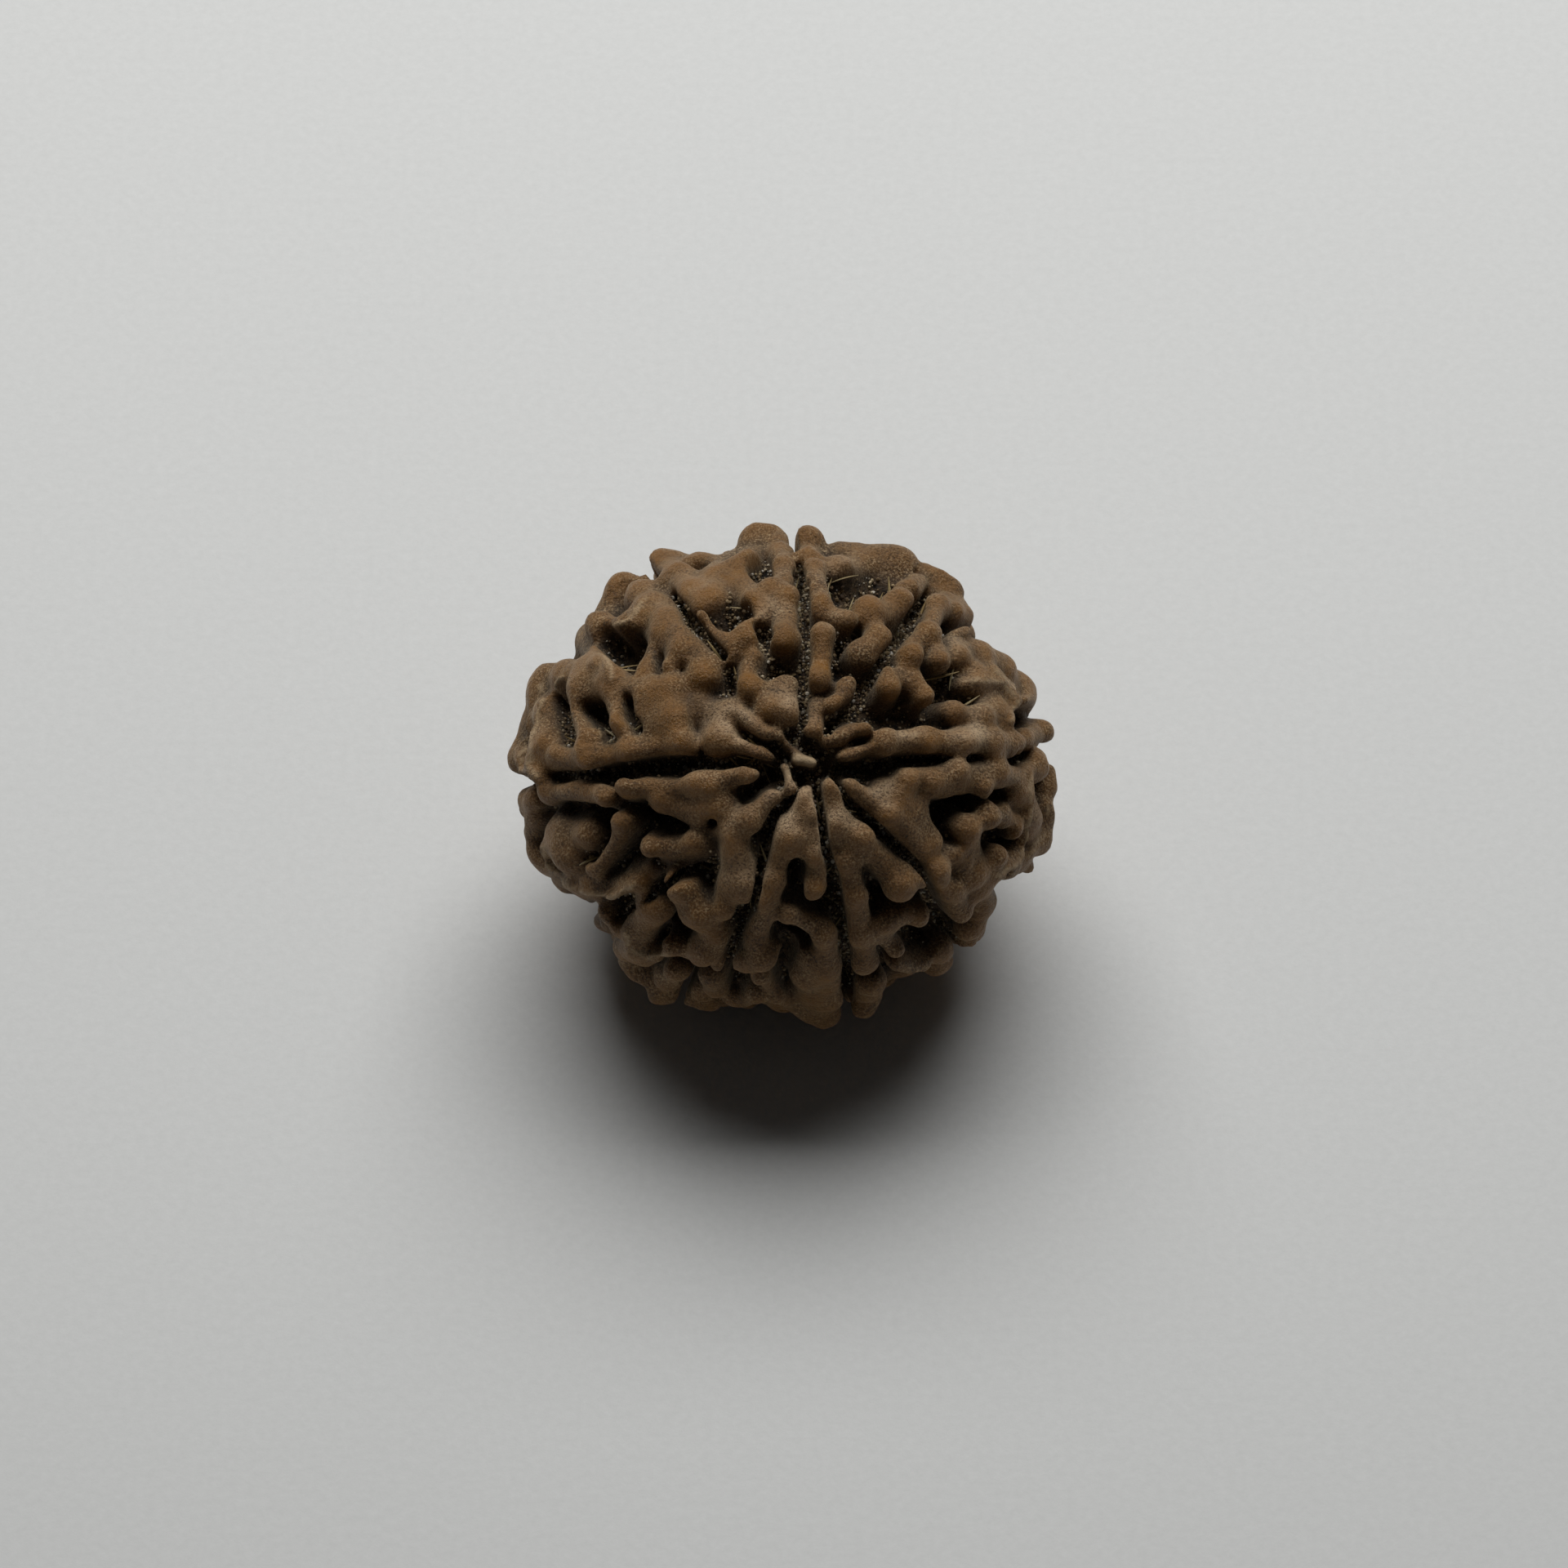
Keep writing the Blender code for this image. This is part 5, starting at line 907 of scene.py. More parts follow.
def knobs_along(rng, ridge):
    """The knobs of one ridge, each as a centre, a radius and the point at its top."""
    points = np.array(ridge.points)
    lengths = np.linalg.norm(np.diff(points, axis=0), axis=1)
    marks = np.concatenate(([0.0], np.cumsum(lengths)))
    places = [0.0]
    while places[-1] < marks[-1] - KNOB_GAPS[0]:
        places.append(places[-1] + rng.uniform(*KNOB_GAPS))
    places[-1] = marks[-1]
    knobs = []
    for place in places:
        centre = np.array([np.interp(place, marks, points[:, axis]) for axis in range(3)])
        width = np.interp(place, marks, ridge.widths)
        radius = min(max(width * rng.uniform(*KNOB_SIZES), KNOB_RADII[0]), KNOB_RADII[1])
        is_end = place in (0.0, marks[-1])
        lift = rng.uniform(*(KNOB_END_LIFTS if is_end else KNOB_LIFTS))
        aside = width * rng.uniform(-KNOB_SIDE, KNOB_SIDE)
        if width > KNOB_PLAIN_WIDTH:
            lift *= KNOB_PLAIN_SHARE
        if 0.0 < centre[2] < SMOOTH_RIM_BELOW:
            lift, aside = 0.0, 0.0
        up = outward(centre)
        side = unit(np.cross(up, points[-1] - points[0] + LEAST_RUN))
        top = centre + side * aside + up * (cap_height(width) + lift)
        knobs.append((top - up * radius, radius, top))
    return knobs


def between_knobs(ridge):
    """The ridge as it runs between its knobs."""
    points = [point - outward(point) * RIDGE_SINK for point in ridge.points]
    return Stroke(points, np.array(ridge.widths) * RIDGE_SLIMNESS)


def add_knob(field, axes, centre, radius):
    slices, (x, y, z) = near_points(axes, [centre], radius + KNOB_ROUNDING)
    shape = np.sqrt((x - centre[0]) ** 2 + (y - centre[1]) ** 2 + (z - centre[2]) ** 2) - radius
    field[slices] = soft_min(field[slices], shape.astype(np.float32), KNOB_ROUNDING)


def averaged(values, reach):
    """The grid's values, each averaged over a cube this many cells to every side."""
    for axis in range(3):
        values = sum(np.roll(values, shift, axis) for shift in range(-reach, reach + 1)) / (2 * reach + 1)
    return values


def sampled(values, axes, points):
    """The grid's values at these points."""
    step = axes[0][1] - axes[0][0]
    places = (points - np.array([axis[0] for axis in axes])) / step
    low = np.floor(places).astype(int)
    share = places - low
    total = 0.0
    for corner in itertools.product((0, 1), repeat=3):
        weight = np.prod(np.where(corner, share, 1.0 - share), axis=1)
        i, j, k = (low + corner).T
        total = total + weight * values[i, j, k]
    return total


def smooth_share(low, high, values):
    share = np.clip((values - low) / (high - low), 0.0, 1.0)
    return share * share * (3.0 - 2.0 * share)


def crossing_table():
    """For each set of inside corners of a tetrahedron, the faces to make, as pairs of corners."""
    table = {}
    for order in itertools.permutations(range(4)):
        swaps = sum(order[i] > order[j] for i, j in itertools.combinations(range(4), 2))
        if swaps % 2:
            continue
        a, b, c, d = order
        table[1 << a] = [((a, b), (a, c), (a, d))]
        table[15 - (1 << a)] = [((a, b), (a, d), (a, c))]
        table[(1 << a) | (1 << b)] = [((a, c), (a, d), (b, d)), ((a, c), (b, d), (b, c))]
    return table


def surface(field, axes):
    """The zero surface of the field as points and triangles, closed and with its faces outwards.

    Each grid cell is split into six tetrahedra, which leave no doubt about how the surface runs."""
    shape = np.array(field.shape)
    strides = np.array((shape[1] * shape[2], shape[2], 1))
    corner_offsets = np.array([[(bits >> axis) & 1 for axis in range(3)] for bits in range(8)])
    inside = field < 0
    count = sum(
        inside[ox : shape[0] - 1 + ox, oy : shape[1] - 1 + oy, oz : shape[2] - 1 + oz].astype(np.int8)
        for ox, oy, oz in corner_offsets
    )
    cells = np.argwhere((count > 0) & (count < 8)) @ strides
    flat = inside.reshape(-1)
    corner_steps = corner_offsets @ strides
    table = crossing_table()
    keys = []
    for order in itertools.permutations(range(3)):
        corners = [0, 1 << order[0], (1 << order[0]) | (1 << order[1]), 7]
        turned = sum(order[i] > order[j] for i, j in itertools.combinations(range(3), 2)) % 2
        if turned:
            corners[1], corners[2] = corners[2], corners[1]
        mask = sum(flat[cells + corner_steps[corner]].astype(int) << i for i, corner in enumerate(corners))
        for found, faces in table.items():
            chosen = cells[mask == found]
            for face in faces:
                ends = [sorted((corners[i], corners[j])) for i, j in face]
                keys.append(np.stack([(chosen + corner_steps[a]) * 8 + (b - a) for a, b in ends], axis=1))
    keys = np.concatenate(keys)
    edges, triangles = np.unique(keys, return_inverse=True)
    start = edges // 8
    end = start + corner_steps[edges % 8]
    values = field.reshape(-1)
    share = values[start] / (values[start] - values[end])
    low = np.stack(np.unravel_index(start, field.shape), axis=1)
    high = np.stack(np.unravel_index(end, field.shape), axis=1)
    cell_points = low + (high - low) * share[:, None]
    step = axes[0][1] - axes[0][0]
    origin = np.array([axis[0] for axis in axes])
    return origin + cell_points * step, triangles.reshape(-1, 3)


def outer_shell(points, triangles):
    """The largest connected surface alone: a hollow sealed off inside is filled, and a scrap is dropped."""
    labels = np.arange(len(points))
    while True:
        lowest = labels[triangles].min(axis=1)
        spread = labels.copy()
        for corner in range(3):
            np.minimum.at(spread, triangles[:, corner], lowest)
        spread = spread[spread]
        if (spread == labels).all():
            break
        labels = spread
    shells = labels[triangles[:, 0]]
    names, sizes = np.unique(shells, return_counts=True)
    used, kept = np.unique(triangles[shells == names[sizes.argmax()]], return_inverse=True)
    return points[used], kept.reshape(-1, 3)


def as_it_rests(points):
    """Plan points in millimetres turned and set down on z = 0, in metres."""
    c, s = math.cos(LEAN), math.sin(LEAN)
    x, y, z = points.T
    return np.stack((x, y * c - z * s, y * s + z * c - rest_height()), axis=1) * MM


def mesh_of(name, points, triangles):
    mesh = bpy.data.meshes.new(name)
    mesh.from_pydata(points.tolist(), [], triangles.tolist())
    mesh.validate()
    return mesh


def bead_field(step):
    """The bead's field at this grid pitch, the grid's axes, the depth under the crests, and the knobs."""
    rng = np.random.default_rng(SEED)
    axes = grid_axes(step)
    field = ellipsoid_field(axes, CREST - FLOOR_DEPTH)
    for hollow in HOLLOWS:
        cut_slot(field, axes, traced_cut(*hollow), ROUNDING)
    webs = [traced_ridge(*web) for web in WEBS]
    ridges = [traced_ridge(*ridge) for ridge in RIDGES] + [foot_ridge()] + rim_ridges(rng)
    ridges += worm_ridges(rng, webs + ridges)
    for web in webs + [traced_ridge(*web) for web in FINE_WEBS]:
        add_ridge(field, axes, web)
    knobs = []
    for ridge in ridges:
        if min(ridge.widths) < KNOB_LEAST_WIDTH:
            add_ridge(field, axes, ridge)
            continue
        add_ridge(field, axes, between_knobs(ridge))
        knobs += knobs_along(rng, ridge)
    for centre, radius, top in knobs:
        add_knob(field, axes, centre, radius)
    for plan in LIPS:
        add_ridge(field, axes, traced_ridge(LIP_WIDTH, LIP_WIDTH, LIP_LIFT, *plan))
    depth = -ellipsoid_field(axes, CREST)
    deep = smooth_share(*CREVICE_DEPTHS, depth)
    for gap, on_crests, in_crevices in RELIEF:
        field += grid_noise(rng, axes, gap) * (on_crests + (in_crevices - on_crests) * deep)
    for pit in PITS:
        cut_slot(field, axes, traced_cut(*pit), PIT_ROUNDING)
    for groove in [traced_cut(*groove) for groove in GROOVES] + hidden_grooves():
        cut_slot(field, axes, groove, SLOT_ROUNDING)
    for ridge in LATE_RIDGES:
        add_ridge(field, axes, traced_ridge(*ridge))
    height = axes[1][None, :, None] * math.sin(LEAN) + axes[2][None, None, :] * math.cos(LEAN)
    return np.maximum(softened(field), rest_height() - height), axes, depth, knobs


def new_object(data):
    obj = bpy.data.objects.new(data.name, data)
    bpy.context.scene.collection.objects.link(obj)
    return obj


def thinned(obj, most):
    """Replaces the object's mesh by one with no more than this many triangles."""
    modifier = obj.modifiers.new("Thin", "DECIMATE")
    modifier.ratio = min(1.0, most / len(obj.data.polygons))
    graph = bpy.context.evaluated_depsgraph_get()
    mesh = bpy.data.meshes.new_from_object(obj.evaluated_get(graph))
    obj.modifiers.clear()
    obj.data = mesh


def points_of(mesh):
    points = np.empty(len(mesh.vertices) * 3)
    mesh.vertices.foreach_get("co", points)
    return points.reshape(-1, 3)


def put_points(mesh, points):
    mesh.vertices.foreach_set("co", points.reshape(-1))
    mesh.update()


def values_of(mesh, name):
    values = np.empty(len(mesh.vertices), np.float32)
    mesh.attributes[name].data.foreach_get("value", values)
    return values


def add_attribute(mesh, name, values):
    mesh.attributes.new(name, "FLOAT", "POINT").data.foreach_set("value", values.astype(np.float32))


def tree_of(points):
    tree = kdtree.KDTree(len(points))
    for number, point in enumerate(points):
        tree.insert(point, number)
    tree.balance()
    return tree


def spot_values(points, spots):
    """For each point the strongest of the spots near it. A spot is a place, a radius and a strength."""
    tree = tree_of(points)
    values = np.zeros(len(points))
    for place, radius, strength in spots:
        for _, number, distance in tree.find_range(place, radius * SPOT_REACH):
            near = strength * math.exp(-SPOT_FALL * (distance / radius) ** 2)
            values[number] = max(values[number], near)
    return values


def worn_spots(rng, knobs):
    """Where the crests are rubbed down to amber: on the knobs, and at the spots on the seen face."""
    spots = []
    for _, radius, top in knobs:
        size = radius * rng.uniform(*WORN_KNOB_RADII)
        spots.append((top + WORN_SHIFT, size, rng.uniform(*WORN_KNOB_SHARES)))
    return spots + [(raised(x, y, 0.0) + WORN_SHIFT, radius, 1.0) for x, y, radius in WORN_SPOTS]


def crumb_spots():
    """Where grains lie thick on the seen face: in the pits and basins listed, and along the grooves."""
    spots = []
    for x, y, radius in CRUMB_SPOTS:
        spots += [(raised(x, y, -depth), radius * CRUMB_SPREAD, 1.0) for depth in CRUMB_DEPTHS]
    for _, cut, *plan in GROOVES:
        for start, end in zip(np.array(plan), np.array(plan)[1:]):
            for share in np.linspace(0.0, 1.0, GROOVE_CRUMB_PLACES):
                x, y = start + (end - start) * share
                for depth in (GROOVE_CRUMB_DEPTH, cut - GROOVE_CRUMB_OVER):
                    spots.append((raised(x, y, -depth), GROOVE_CRUMB_RADIUS, GROOVE_CRUMB_STRENGTH))
    return spots


def pale_spots(points):
    """The stub at the pole, and the growth lines, whose spots lie on the surface itself."""
    spots = [(raised(x, y, STUB_HEIGHT), radius, 1.0) for x, y, radius in PALE_SPOTS]
    tree = tree_of(points)
    for plan in LIPS:
        for start, end in zip(np.array(plan), np.array(plan)[1:]):
            count = math.ceil(np.linalg.norm(end - start) / LIP_WIDTH) + 1
            for x, y in start + (end - start) * np.linspace(0.0, 1.0, count)[:, None]:
                spots.append((tree.find(raised(x, y, LIP_LIFT))[0], LIP_PALE_RADIUS, LIP_PALENESS))
    return spots


class Placing:
    """How the plan frame lies in the world: turned, set down, and moved to where the model's box is."""

    def __init__(self, points):
        rested = as_it_rests(points)
        low, high = (np.array(corner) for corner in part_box("bead"))
        self.shift = (low + high) / 2 - (rested.min(axis=0) + rested.max(axis=0)) / 2
        self.shift[2] = 0.0

    def world(self, points):
        return as_it_rests(np.atleast_2d(points)) + self.shift


def make_bead(rng):
    """The bead's mesh with its attributes, its placing, and its points in the plan frame."""
    step = GRID_STEP
    field, axes, depth, knobs = bead_field(step)
    points, triangles = outer_shell(*surface(field, axes))
    bead = new_object(mesh_of("kernel_surface", points, triangles))
    thinned(bead, MOST_TRIANGLES)
    points = points_of(bead.data)
    near = averaged(np.clip(0.5 - field / step, 0.0, 1.0), round(NEAR_REACH / step))
    wide = averaged(near, round(WIDE_REACH / step))
    for name, values in (("hollow_near", near), ("hollow_wide", wide), ("depth", depth)):
        add_attribute(bead.data, name, sampled(values, axes, points))
    looks = {
        "worn": worn_spots(rng, knobs),
        "pale": pale_spots(points),
        "dust_and_painted_light": [(raised(x, y, 0.0), radius, thickness) for x, y, radius, thickness in DUST_AND_LIGHT_SPOTS],
        "crumbly": crumb_spots(),
    }
    for name, spots in looks.items():
        add_attribute(bead.data, name, spot_values(points, spots))
    placing = Placing(points)
    rested = placing.world(points)
    rested[rested[:, 2] < FLAT_SNAP * MM, 2] = 0.0
    put_points(bead.data, rested)
    bead.data.shade_smooth()
    return bead, placing, points


def crevice_places(rng, bead, points, count):
    """Points of the bead that lie in crevices, drawn at random, with the outward direction at each."""
    hollow, deep, crumbly = (values_of(bead.data, name) for name in ("hollow_near", "depth", "crumbly"))
    anywhere = smooth_share(*CREVICE_HOLLOW, hollow) * smooth_share(*CREVICE_SETS_IN, deep)
    anywhere = anywhere * smooth_share(*CREVICE_ENDS, deep)
    listed = smooth_share(*CRUMB_HOLLOW, hollow) * smooth_share(*CRUMB_SETS_IN, deep) * crumbly
    weight = anywhere * CREVICE_SHARE + listed
    chosen = rng.choice(len(points), count, replace=False, p=weight / weight.sum())
    normals = np.empty(len(points) * 3, np.float32)
    bead.data.vertices.foreach_get("normal", normals)
    return points_of(bead.data)[chosen], normals.reshape(-1, 3)[chosen]


def icosahedron():
    """Corners at distance 1 and faces. Before that its edges are 2 long, and its other distances over 3."""
    golden = (1.0 + math.sqrt(5.0)) / 2.0
    corners = []
    for a, b in itertools.product((-1.0, 1.0), (-golden, golden)):
        corners += [(0.0, a, b), (a, b, 0.0), (b, 0.0, a)]
    corners = np.array(corners)
    faces = []
    for i, j, k in itertools.combinations(range(len(corners)), 3):
        a, b, c = corners[[i, j, k]]
        if max(np.linalg.norm(a - b), np.linalg.norm(b - c), np.linalg.norm(c - a)) < LONGEST_EDGE:
            turned = np.dot(np.cross(b - a, c - a), a) < 0
            faces.append((i, k, j) if turned else (i, j, k))
    return corners / np.linalg.norm(corners[0]), np.array(faces)


def random_turn(rng):
    """A turn of a point set to any direction."""
    turn, _ = np.linalg.qr(rng.normal(size=(3, 3)))
    return turn * np.sign(np.linalg.det(turn))


def joined(name, pieces):
    """One object of many small closed shapes, each with its points, its faces and a tone of its own."""
    starts = np.cumsum([0] + [len(points) for points, _, _ in pieces])
    all_points = np.concatenate([points for points, _, _ in pieces])
    all_faces = np.concatenate([faces + start for (_, faces, _), start in zip(pieces, starts)])
    mesh = mesh_of(name, all_points, all_faces)
    add_attribute(mesh, "tone", np.concatenate([np.full(len(points), tone) for points, _, tone in pieces]))
    return new_object(mesh)


def make_grains(rng, bead, points):
    """Loose crumbs that lie in the crevices and pits."""
    corners, faces = icosahedron()
    least, most = GRAIN_RADII
    grains = []
    for place, normal in zip(*crevice_places(rng, bead, points, GRAIN_COUNT)):
        radius = (least + (most - least) * rng.uniform() ** 2) * MM
        lumps = rng.uniform(*GRAIN_LUMPS, (len(corners), 1))
        shape = corners * lumps * rng.uniform(*GRAIN_FLATNESS, 3) @ random_turn(rng)
        grains.append((place + normal * radius * GRAIN_RISE + shape * radius, faces, rng.uniform()))
    return joined("crevice_grains", grains)


def tube(line, radius):
    """A closed tube along a line that narrows at each end."""
    along = np.gradient(line, axis=0)
    along /= np.linalg.norm(along, axis=1)[:, None]
    aside = np.cross(along, FIBRE_ASIDE)
    aside /= np.linalg.norm(aside, axis=1)[:, None]
    other = np.cross(along, aside)
    angles = np.arange(FIBRE_SIDES) * math.tau / FIBRE_SIDES
    share = np.sin(np.linspace(FIBRE_TIP_ANGLE, math.pi - FIBRE_TIP_ANGLE, len(line)))
    rings = line[:, None] + (radius * share)[:, None, None] * (
        np.cos(angles)[None, :, None] * aside[:, None] + np.sin(angles)[None, :, None] * other[:, None]
    )
    points = np.concatenate((rings.reshape(-1, 3), line[:1], line[-1:]))
    first, last = len(points) - 2, len(points) - 1
    end = (len(line) - 1) * FIBRE_SIDES
    faces = []
    for side in range(FIBRE_SIDES):
        after = (side + 1) % FIBRE_SIDES
        faces += [(first, after, side), (last, end + side, end + after)]
        for ring in range(0, end, FIBRE_SIDES):
            a, b = ring + side, ring + after
            faces += [(a, b, b + FIBRE_SIDES), (a, b + FIBRE_SIDES, a + FIBRE_SIDES)]
    return points, np.array(faces)


def make_fibres(rng, bead, placing, points):
    """Dry straw fibres caught in the crevices."""
    tree = tree_of(points_of(bead.data))
    starts = []
    for x, y, heading in FIBRES:
        starts.append((placing.world(raised(x, y, -FIBRE_DEPTH))[0], math.radians(heading)))
    places, _ = crevice_places(rng, bead, points, FIBRE_STRAYS)
    starts += [(place, rng.uniform(0.0, math.tau)) for place in places]
    share = np.linspace(-0.5, 0.5, FIBRE_POINTS)[:, None]
    fibres = []
    for place, heading in starts:
        place, nearest, _ = tree.find(place)
        normal = np.array(bead.data.vertices[nearest].normal)
        plan = np.array((math.cos(heading), math.sin(heading), 0.0))
        direction = as_it_rests(plan[None])[0] - as_it_rests(np.zeros((1, 3)))[0]
        direction = unit(direction - FIBRE_LIES_FLAT * normal * direction.dot(normal))
        sideways = np.cross(normal, direction)
        length = rng.uniform(*FIBRE_LENGTHS) * MM
        bend = rng.uniform(*FIBRE_BENDS)
        lift = rng.uniform(*FIBRE_LIFTS) * FIBRE_LIFT_SHARE
        curve = direction * share + sideways * bend * share**2 + normal * lift * (share + 0.5)
        radius = FIBRE_RADIUS * MM * rng.uniform(*FIBRE_THICKNESS)
        fibre, faces = tube(np.array(place) + length * curve, radius)
        fibres.append((fibre, faces, rng.uniform()))
    return joined("straw_fibres", fibres)


class Material:
    """A node material with short calls for the nodes that it uses."""

    def __init__(self, name):
        self.material = bpy.data.materials.new(name)
        self.material.use_nodes = True
        self.tree = self.material.node_tree
        self.shader = self.tree.nodes["Principled BSDF"]

    def node(self, kind, inputs=(), **settings):
        made = self.tree.nodes.new(kind)
        for setting, value in settings.items():
            setattr(made, setting, value)
        for key, value in dict(inputs).items():
            self.give(made.inputs[key], value)
        return made

    def give(self, socket, value):
        """Links or sets a socket. A colour is given as red, green and blue alone."""
        if isinstance(value, bpy.types.NodeSocket):
            self.tree.links.new(value, socket)
        else:
            socket.default_value = (*value, 1.0) if socket.type == "RGBA" else value

    def shade(self, inputs):
        """Gives the shader what it takes, and returns the finished material."""
        for key, value in inputs.items():
            self.give(self.shader.inputs[key], value)
        return self.material

    def place(self):
        return self.node("ShaderNodeTexCoord").outputs["Object"]

    def attribute(self, name):
        return self.node("ShaderNodeAttribute", attribute_name=name).outputs["Fac"]

    def noise(self, name):
        """Random values from 0 to 1."""
        size_mm, detail, roughness, offset = NOISES[name]
        place = self.node("ShaderNodeVectorMath", {0: self.place(), 1: (offset, 0.0, 0.0)}).outputs[0]
        inputs = {"Vector": place, "Scale": 1.0 / (size_mm * MM), "Detail": detail, "Roughness": roughness}
        return self.node("ShaderNodeTexNoise", inputs).outputs["Fac"]

    def cells(self, output):
        inputs = {"Vector": self.place(), "Scale": 1.0 / (CRUMB_MM * MM)}
        return self.node("ShaderNodeTexVoronoi", inputs).outputs[output]

    def ranged(self, value, name):
        """The value moved smoothly from one range to another."""
        inputs = {"Value": value}
        inputs.update(zip(("From Min", "From Max", "To Min", "To Max"), RANGES[name]))
        return self.node("ShaderNodeMapRange", inputs, interpolation_type="SMOOTHSTEP").outputs["Result"]

    def maths(self, operation, first, second):
        return self.node("ShaderNodeMath", {0: first, 1: second}, operation=operation).outputs[0]

    def times(self, first, second):
        return self.maths("MULTIPLY", first, second)

    def mixed(self, share, first, second):
        return self.node("ShaderNodeMix", {0: share, 6: first, 7: second}, data_type="RGBA").outputs[2]

    def ramp(self, value, stops):
        made = self.node("ShaderNodeValToRGB", {"Fac": value})
        for place, _ in stops[2:]:
            made.color_ramp.elements.new(place)
        for element, (place, colour) in zip(made.color_ramp.elements, stops):
            element.position = place
            element.color = (*colour, 1.0)
        return made.outputs["Color"]

    def bump(self, height, name, normal=None):
        distance_mm, strength = BUMPS[name]
        inputs = {"Height": height, "Distance": distance_mm * MM, "Strength": strength}
        if normal is not None:
            inputs["Normal"] = normal
        return self.node("ShaderNodeBump", inputs).outputs["Normal"]


def kernel_material():
    """Dusty brown stone, amber where rubbed, with painted light and shade: a pale film on slopes facing the
    lamp, and near-black grainy crevices of soil and shade.
    """
    m = Material("dried_kernel_look")
    depth = m.attribute("depth")
    speckle = m.noise("speckle")
    patches = m.times(m.maths("SUBTRACT", m.noise("patches"), 0.5), PATCH_SHARE)
    hollow = m.maths("ADD", m.ranged(m.attribute("hollow_wide"), "hollow"), patches)
    geometry = m.node("ShaderNodeNewGeometry")
    facing = m.node("ShaderNodeSeparateXYZ", {0: geometry.outputs["Normal"]}).outputs["Y"]
    grainy = m.ranged(m.noise("speckle_patches"), "speckle_patches")
    rubbed = m.times(m.attribute("worn"), m.ranged(m.noise("rubbing"), "rubbing"))
    layers = (
        ("mottle", m.ranged(m.noise("mottle"), "mottle")),
        # A pale dusty film at the listed places, partly painted light that brightens them.
        ("dust_and_light", m.times(m.attribute("dust_and_painted_light"), m.ranged(m.noise("dust_and_light"), "dust_and_light"))),
        # Painted light: a pale film on slopes whose normals face back, towards the lamp behind the bead.
        ("painted_light_film", m.times(m.ranged(facing, "faces_back"), m.ranged(m.noise("painted_light_film"), "painted_light_film"))),
        # Painted shade: a dark amber on slopes that face the front, away from that lamp.
        ("painted_front_shade", m.ranged(facing, "faces_front")),
        ("pale_grain", m.times(m.ranged(speckle, "pale_grains"), grainy)),
        ("dark_grain", m.ranged(speckle, "dark_grains")),
        ("amber", rubbed),
        ("pale", m.attribute("pale")),
        # Painted shade: darker the deeper a place lies under the crests.
        ("sunk_shade", m.ranged(depth, "sunk_shade")),
    )
    # The stone's colour by how closed in a place is, darker into the hollows as painted shade.
    colour = m.ramp(hollow, STONE_AND_SHADE_STOPS)
    for tone, share in layers:
        colour = m.mixed(share, colour, TONES[tone])
    # Crevices and basins are painted near-black: dark soil there, and painted shade where light hardly
    # reaches.
    crevices = m.times(m.ranged(m.attribute("hollow_near"), "closed_in"), m.ranged(depth, "crevice_depth"))
    basins = m.times(m.ranged(m.attribute("crumbly"), "basin"), m.ranged(depth, "basin_depth"))
    dark = m.maths("MAXIMUM", crevices, basins)
    soil_and_shade = m.mixed(m.ranged(m.noise("soil_and_shade"), "soil_and_shade"), TONES["soil_and_shade_black"], TONES["soil_and_shade_brown"])
    colour = m.mixed(dark, colour, soil_and_shade)
    crumbs = m.times(m.ranged(m.cells("Distance"), "crumb_core"), m.ranged(depth, "crumb_depth"))
    crumbs = m.times(crumbs, m.ranged(m.cells("Color"), "crumb_choice"))
    colour = m.mixed(m.times(crumbs, CRUMB_STRENGTH), colour, TONES["crumb"])
    relief = m.bump(m.noise("lumps"), "lumps", m.bump(speckle, "speckle"))
    return m.shade({
        "Base Color": colour,
        "Roughness": m.maths("ADD", m.ranged(rubbed, "gloss"), m.times(dark, CREVICE_ROUGHNESS)),
        "Specular IOR Level": 0.42,
        "Sheen Weight": 0.42,
        "Sheen Roughness": 0.3,
        "Sheen Tint": TONES["sheen"],
        "Normal": m.bump(crumbs, "crumbs", relief),
    })


def tone_material(name, stops, roughness):
    """A dry material whose colour differs from one crumb or fibre to the next."""
    m = Material(name)
    colour = m.ramp(m.attribute("tone"), stops)
    return m.shade({
        "Base Color": m.mixed(m.noise("crumb_mottle"), colour, TONES["crumb_mottle"]),
        "Roughness": roughness,
        "Normal": m.bump(m.noise("crumb_grain"), "crumb_grain"),
    })


def grain_material():
    return tone_material("crumb_brown", GRAIN_STOPS, GRAIN_ROUGHNESS)


def fibre_material():
    return tone_material("straw_gold", FIBRE_STOPS, FIBRE_ROUGHNESS)


def paper_material():
    """A pale sheet with a faint fine grain."""
    m = Material("pale_paper")
    grain = m.noise("paper")
    return m.shade({
        "Base Color": m.ramp(grain, PAPER_STOPS),
        "Roughness": 0.85,
        "Specular IOR Level": 0.2,
        "Normal": m.bump(grain, "paper"),
    })


def dress(obj, material):
    obj.data.materials.append(material)
    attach(obj, "root")


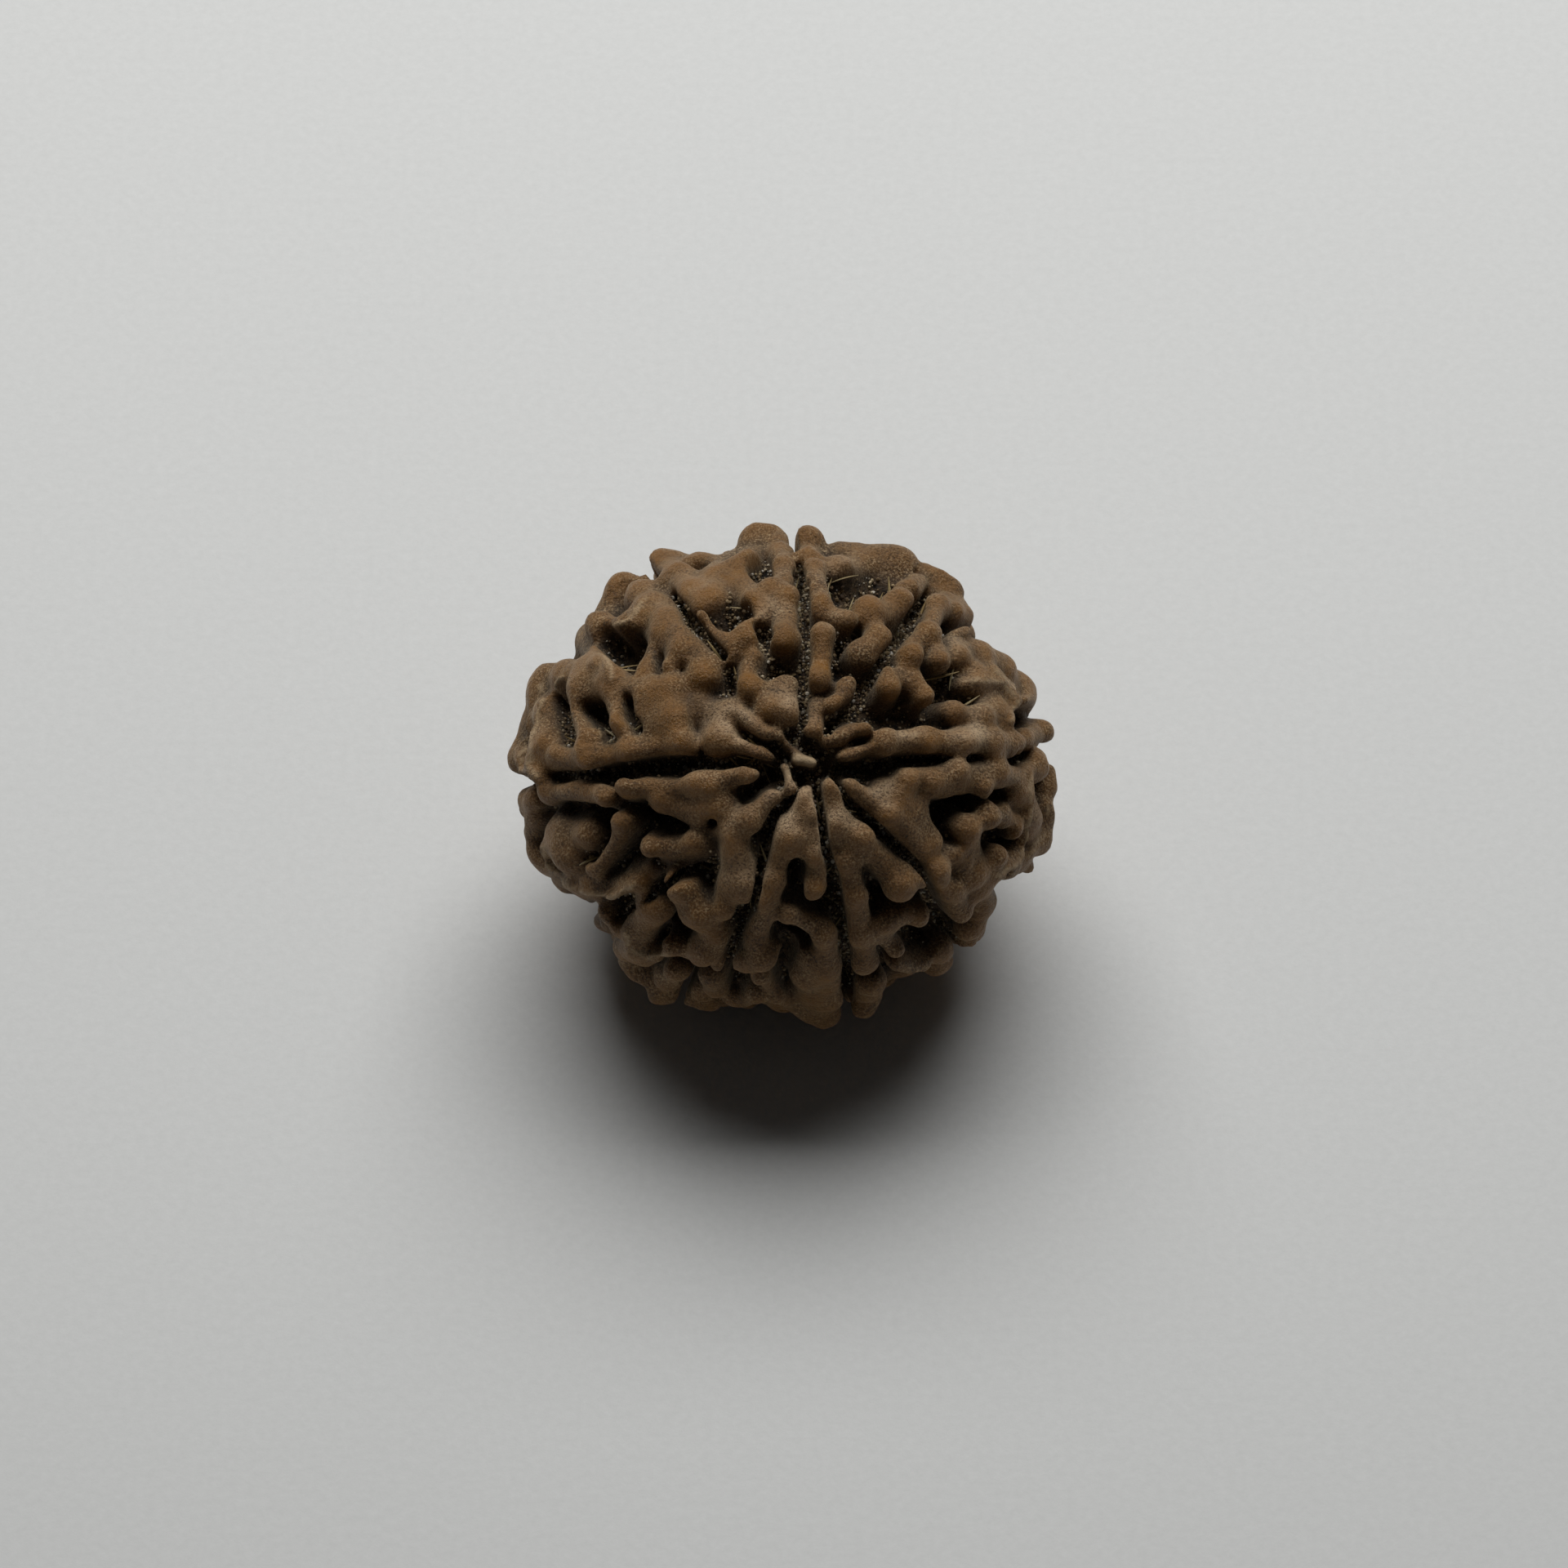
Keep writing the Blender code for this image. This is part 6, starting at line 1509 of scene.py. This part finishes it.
def make_floor():
    corners = np.array(((-1, -1, 0), (1, -1, 0), (1, 1, 0), (-1, 1, 0))) * PAPER_HALF
    floor = new_object(mesh_of("paper_sheet", corners, np.array(((0, 1, 2), (0, 2, 3)))))
    floor.data.materials.append(paper_material())


def make_lights():
    """A large soft light from behind and above, and weak light from all round."""
    data = bpy.data.lights.new("back_softbox", "AREA")
    data.shape = "RECTANGLE"
    data.size, data.size_y = SOFTBOX_SIZE
    data.energy = SOFTBOX_WATTS
    light = new_object(data)
    light.location = SOFTBOX_PLACE
    light.rotation_euler = (Vector() - Vector(SOFTBOX_PLACE)).to_track_quat("-Z", "Y").to_euler()
    world = bpy.data.worlds.new("soft_room")
    bpy.context.scene.world = world
    world.use_nodes = True
    background = world.node_tree.nodes["Background"]
    background.inputs["Color"].default_value = ROOM_COLOUR
    background.inputs["Strength"].default_value = ROOM_STRENGTH
    bpy.context.scene.view_settings.view_transform = "Standard"


def make_camera(placing):
    """The photograph's view: straight on from the front, and high."""
    data = bpy.data.cameras.new("photo_camera")
    camera = new_object(data)
    away = Vector((0.0, -math.cos(CAMERA_HEIGHT_ANGLE), math.sin(CAMERA_HEIGHT_ANGLE)))
    target = Vector(placing.world((0.0, 0.0, 0.0))[0])
    camera.location = target + away * CAMERA_DISTANCE
    camera.rotation_euler = (-away).to_track_quat("-Z", "Y").to_euler()
    data.sensor_width = SENSOR_MM
    data.lens = SENSOR_MM * CAMERA_DISTANCE / (PICTURE_PX / PX_PER_MM * MM)
    data.shift_x = (PICTURE_PX / 2 - CENTRE_PX[0]) / PICTURE_PX
    data.shift_y = (CENTRE_PX[1] - PICTURE_PX / 2) / PICTURE_PX
    data.clip_start = CAMERA_NEAREST
    bpy.context.scene.camera = camera


def main():
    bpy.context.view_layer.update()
    rng = np.random.default_rng(SEED)
    bead, placing, points = make_bead(rng)
    dress(bead, kernel_material())
    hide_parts("bead")
    dress(make_grains(rng, bead, points), grain_material())
    dress(make_fibres(rng, bead, placing, points), fibre_material())
    make_floor()
    make_lights()
    make_camera(placing)


main()
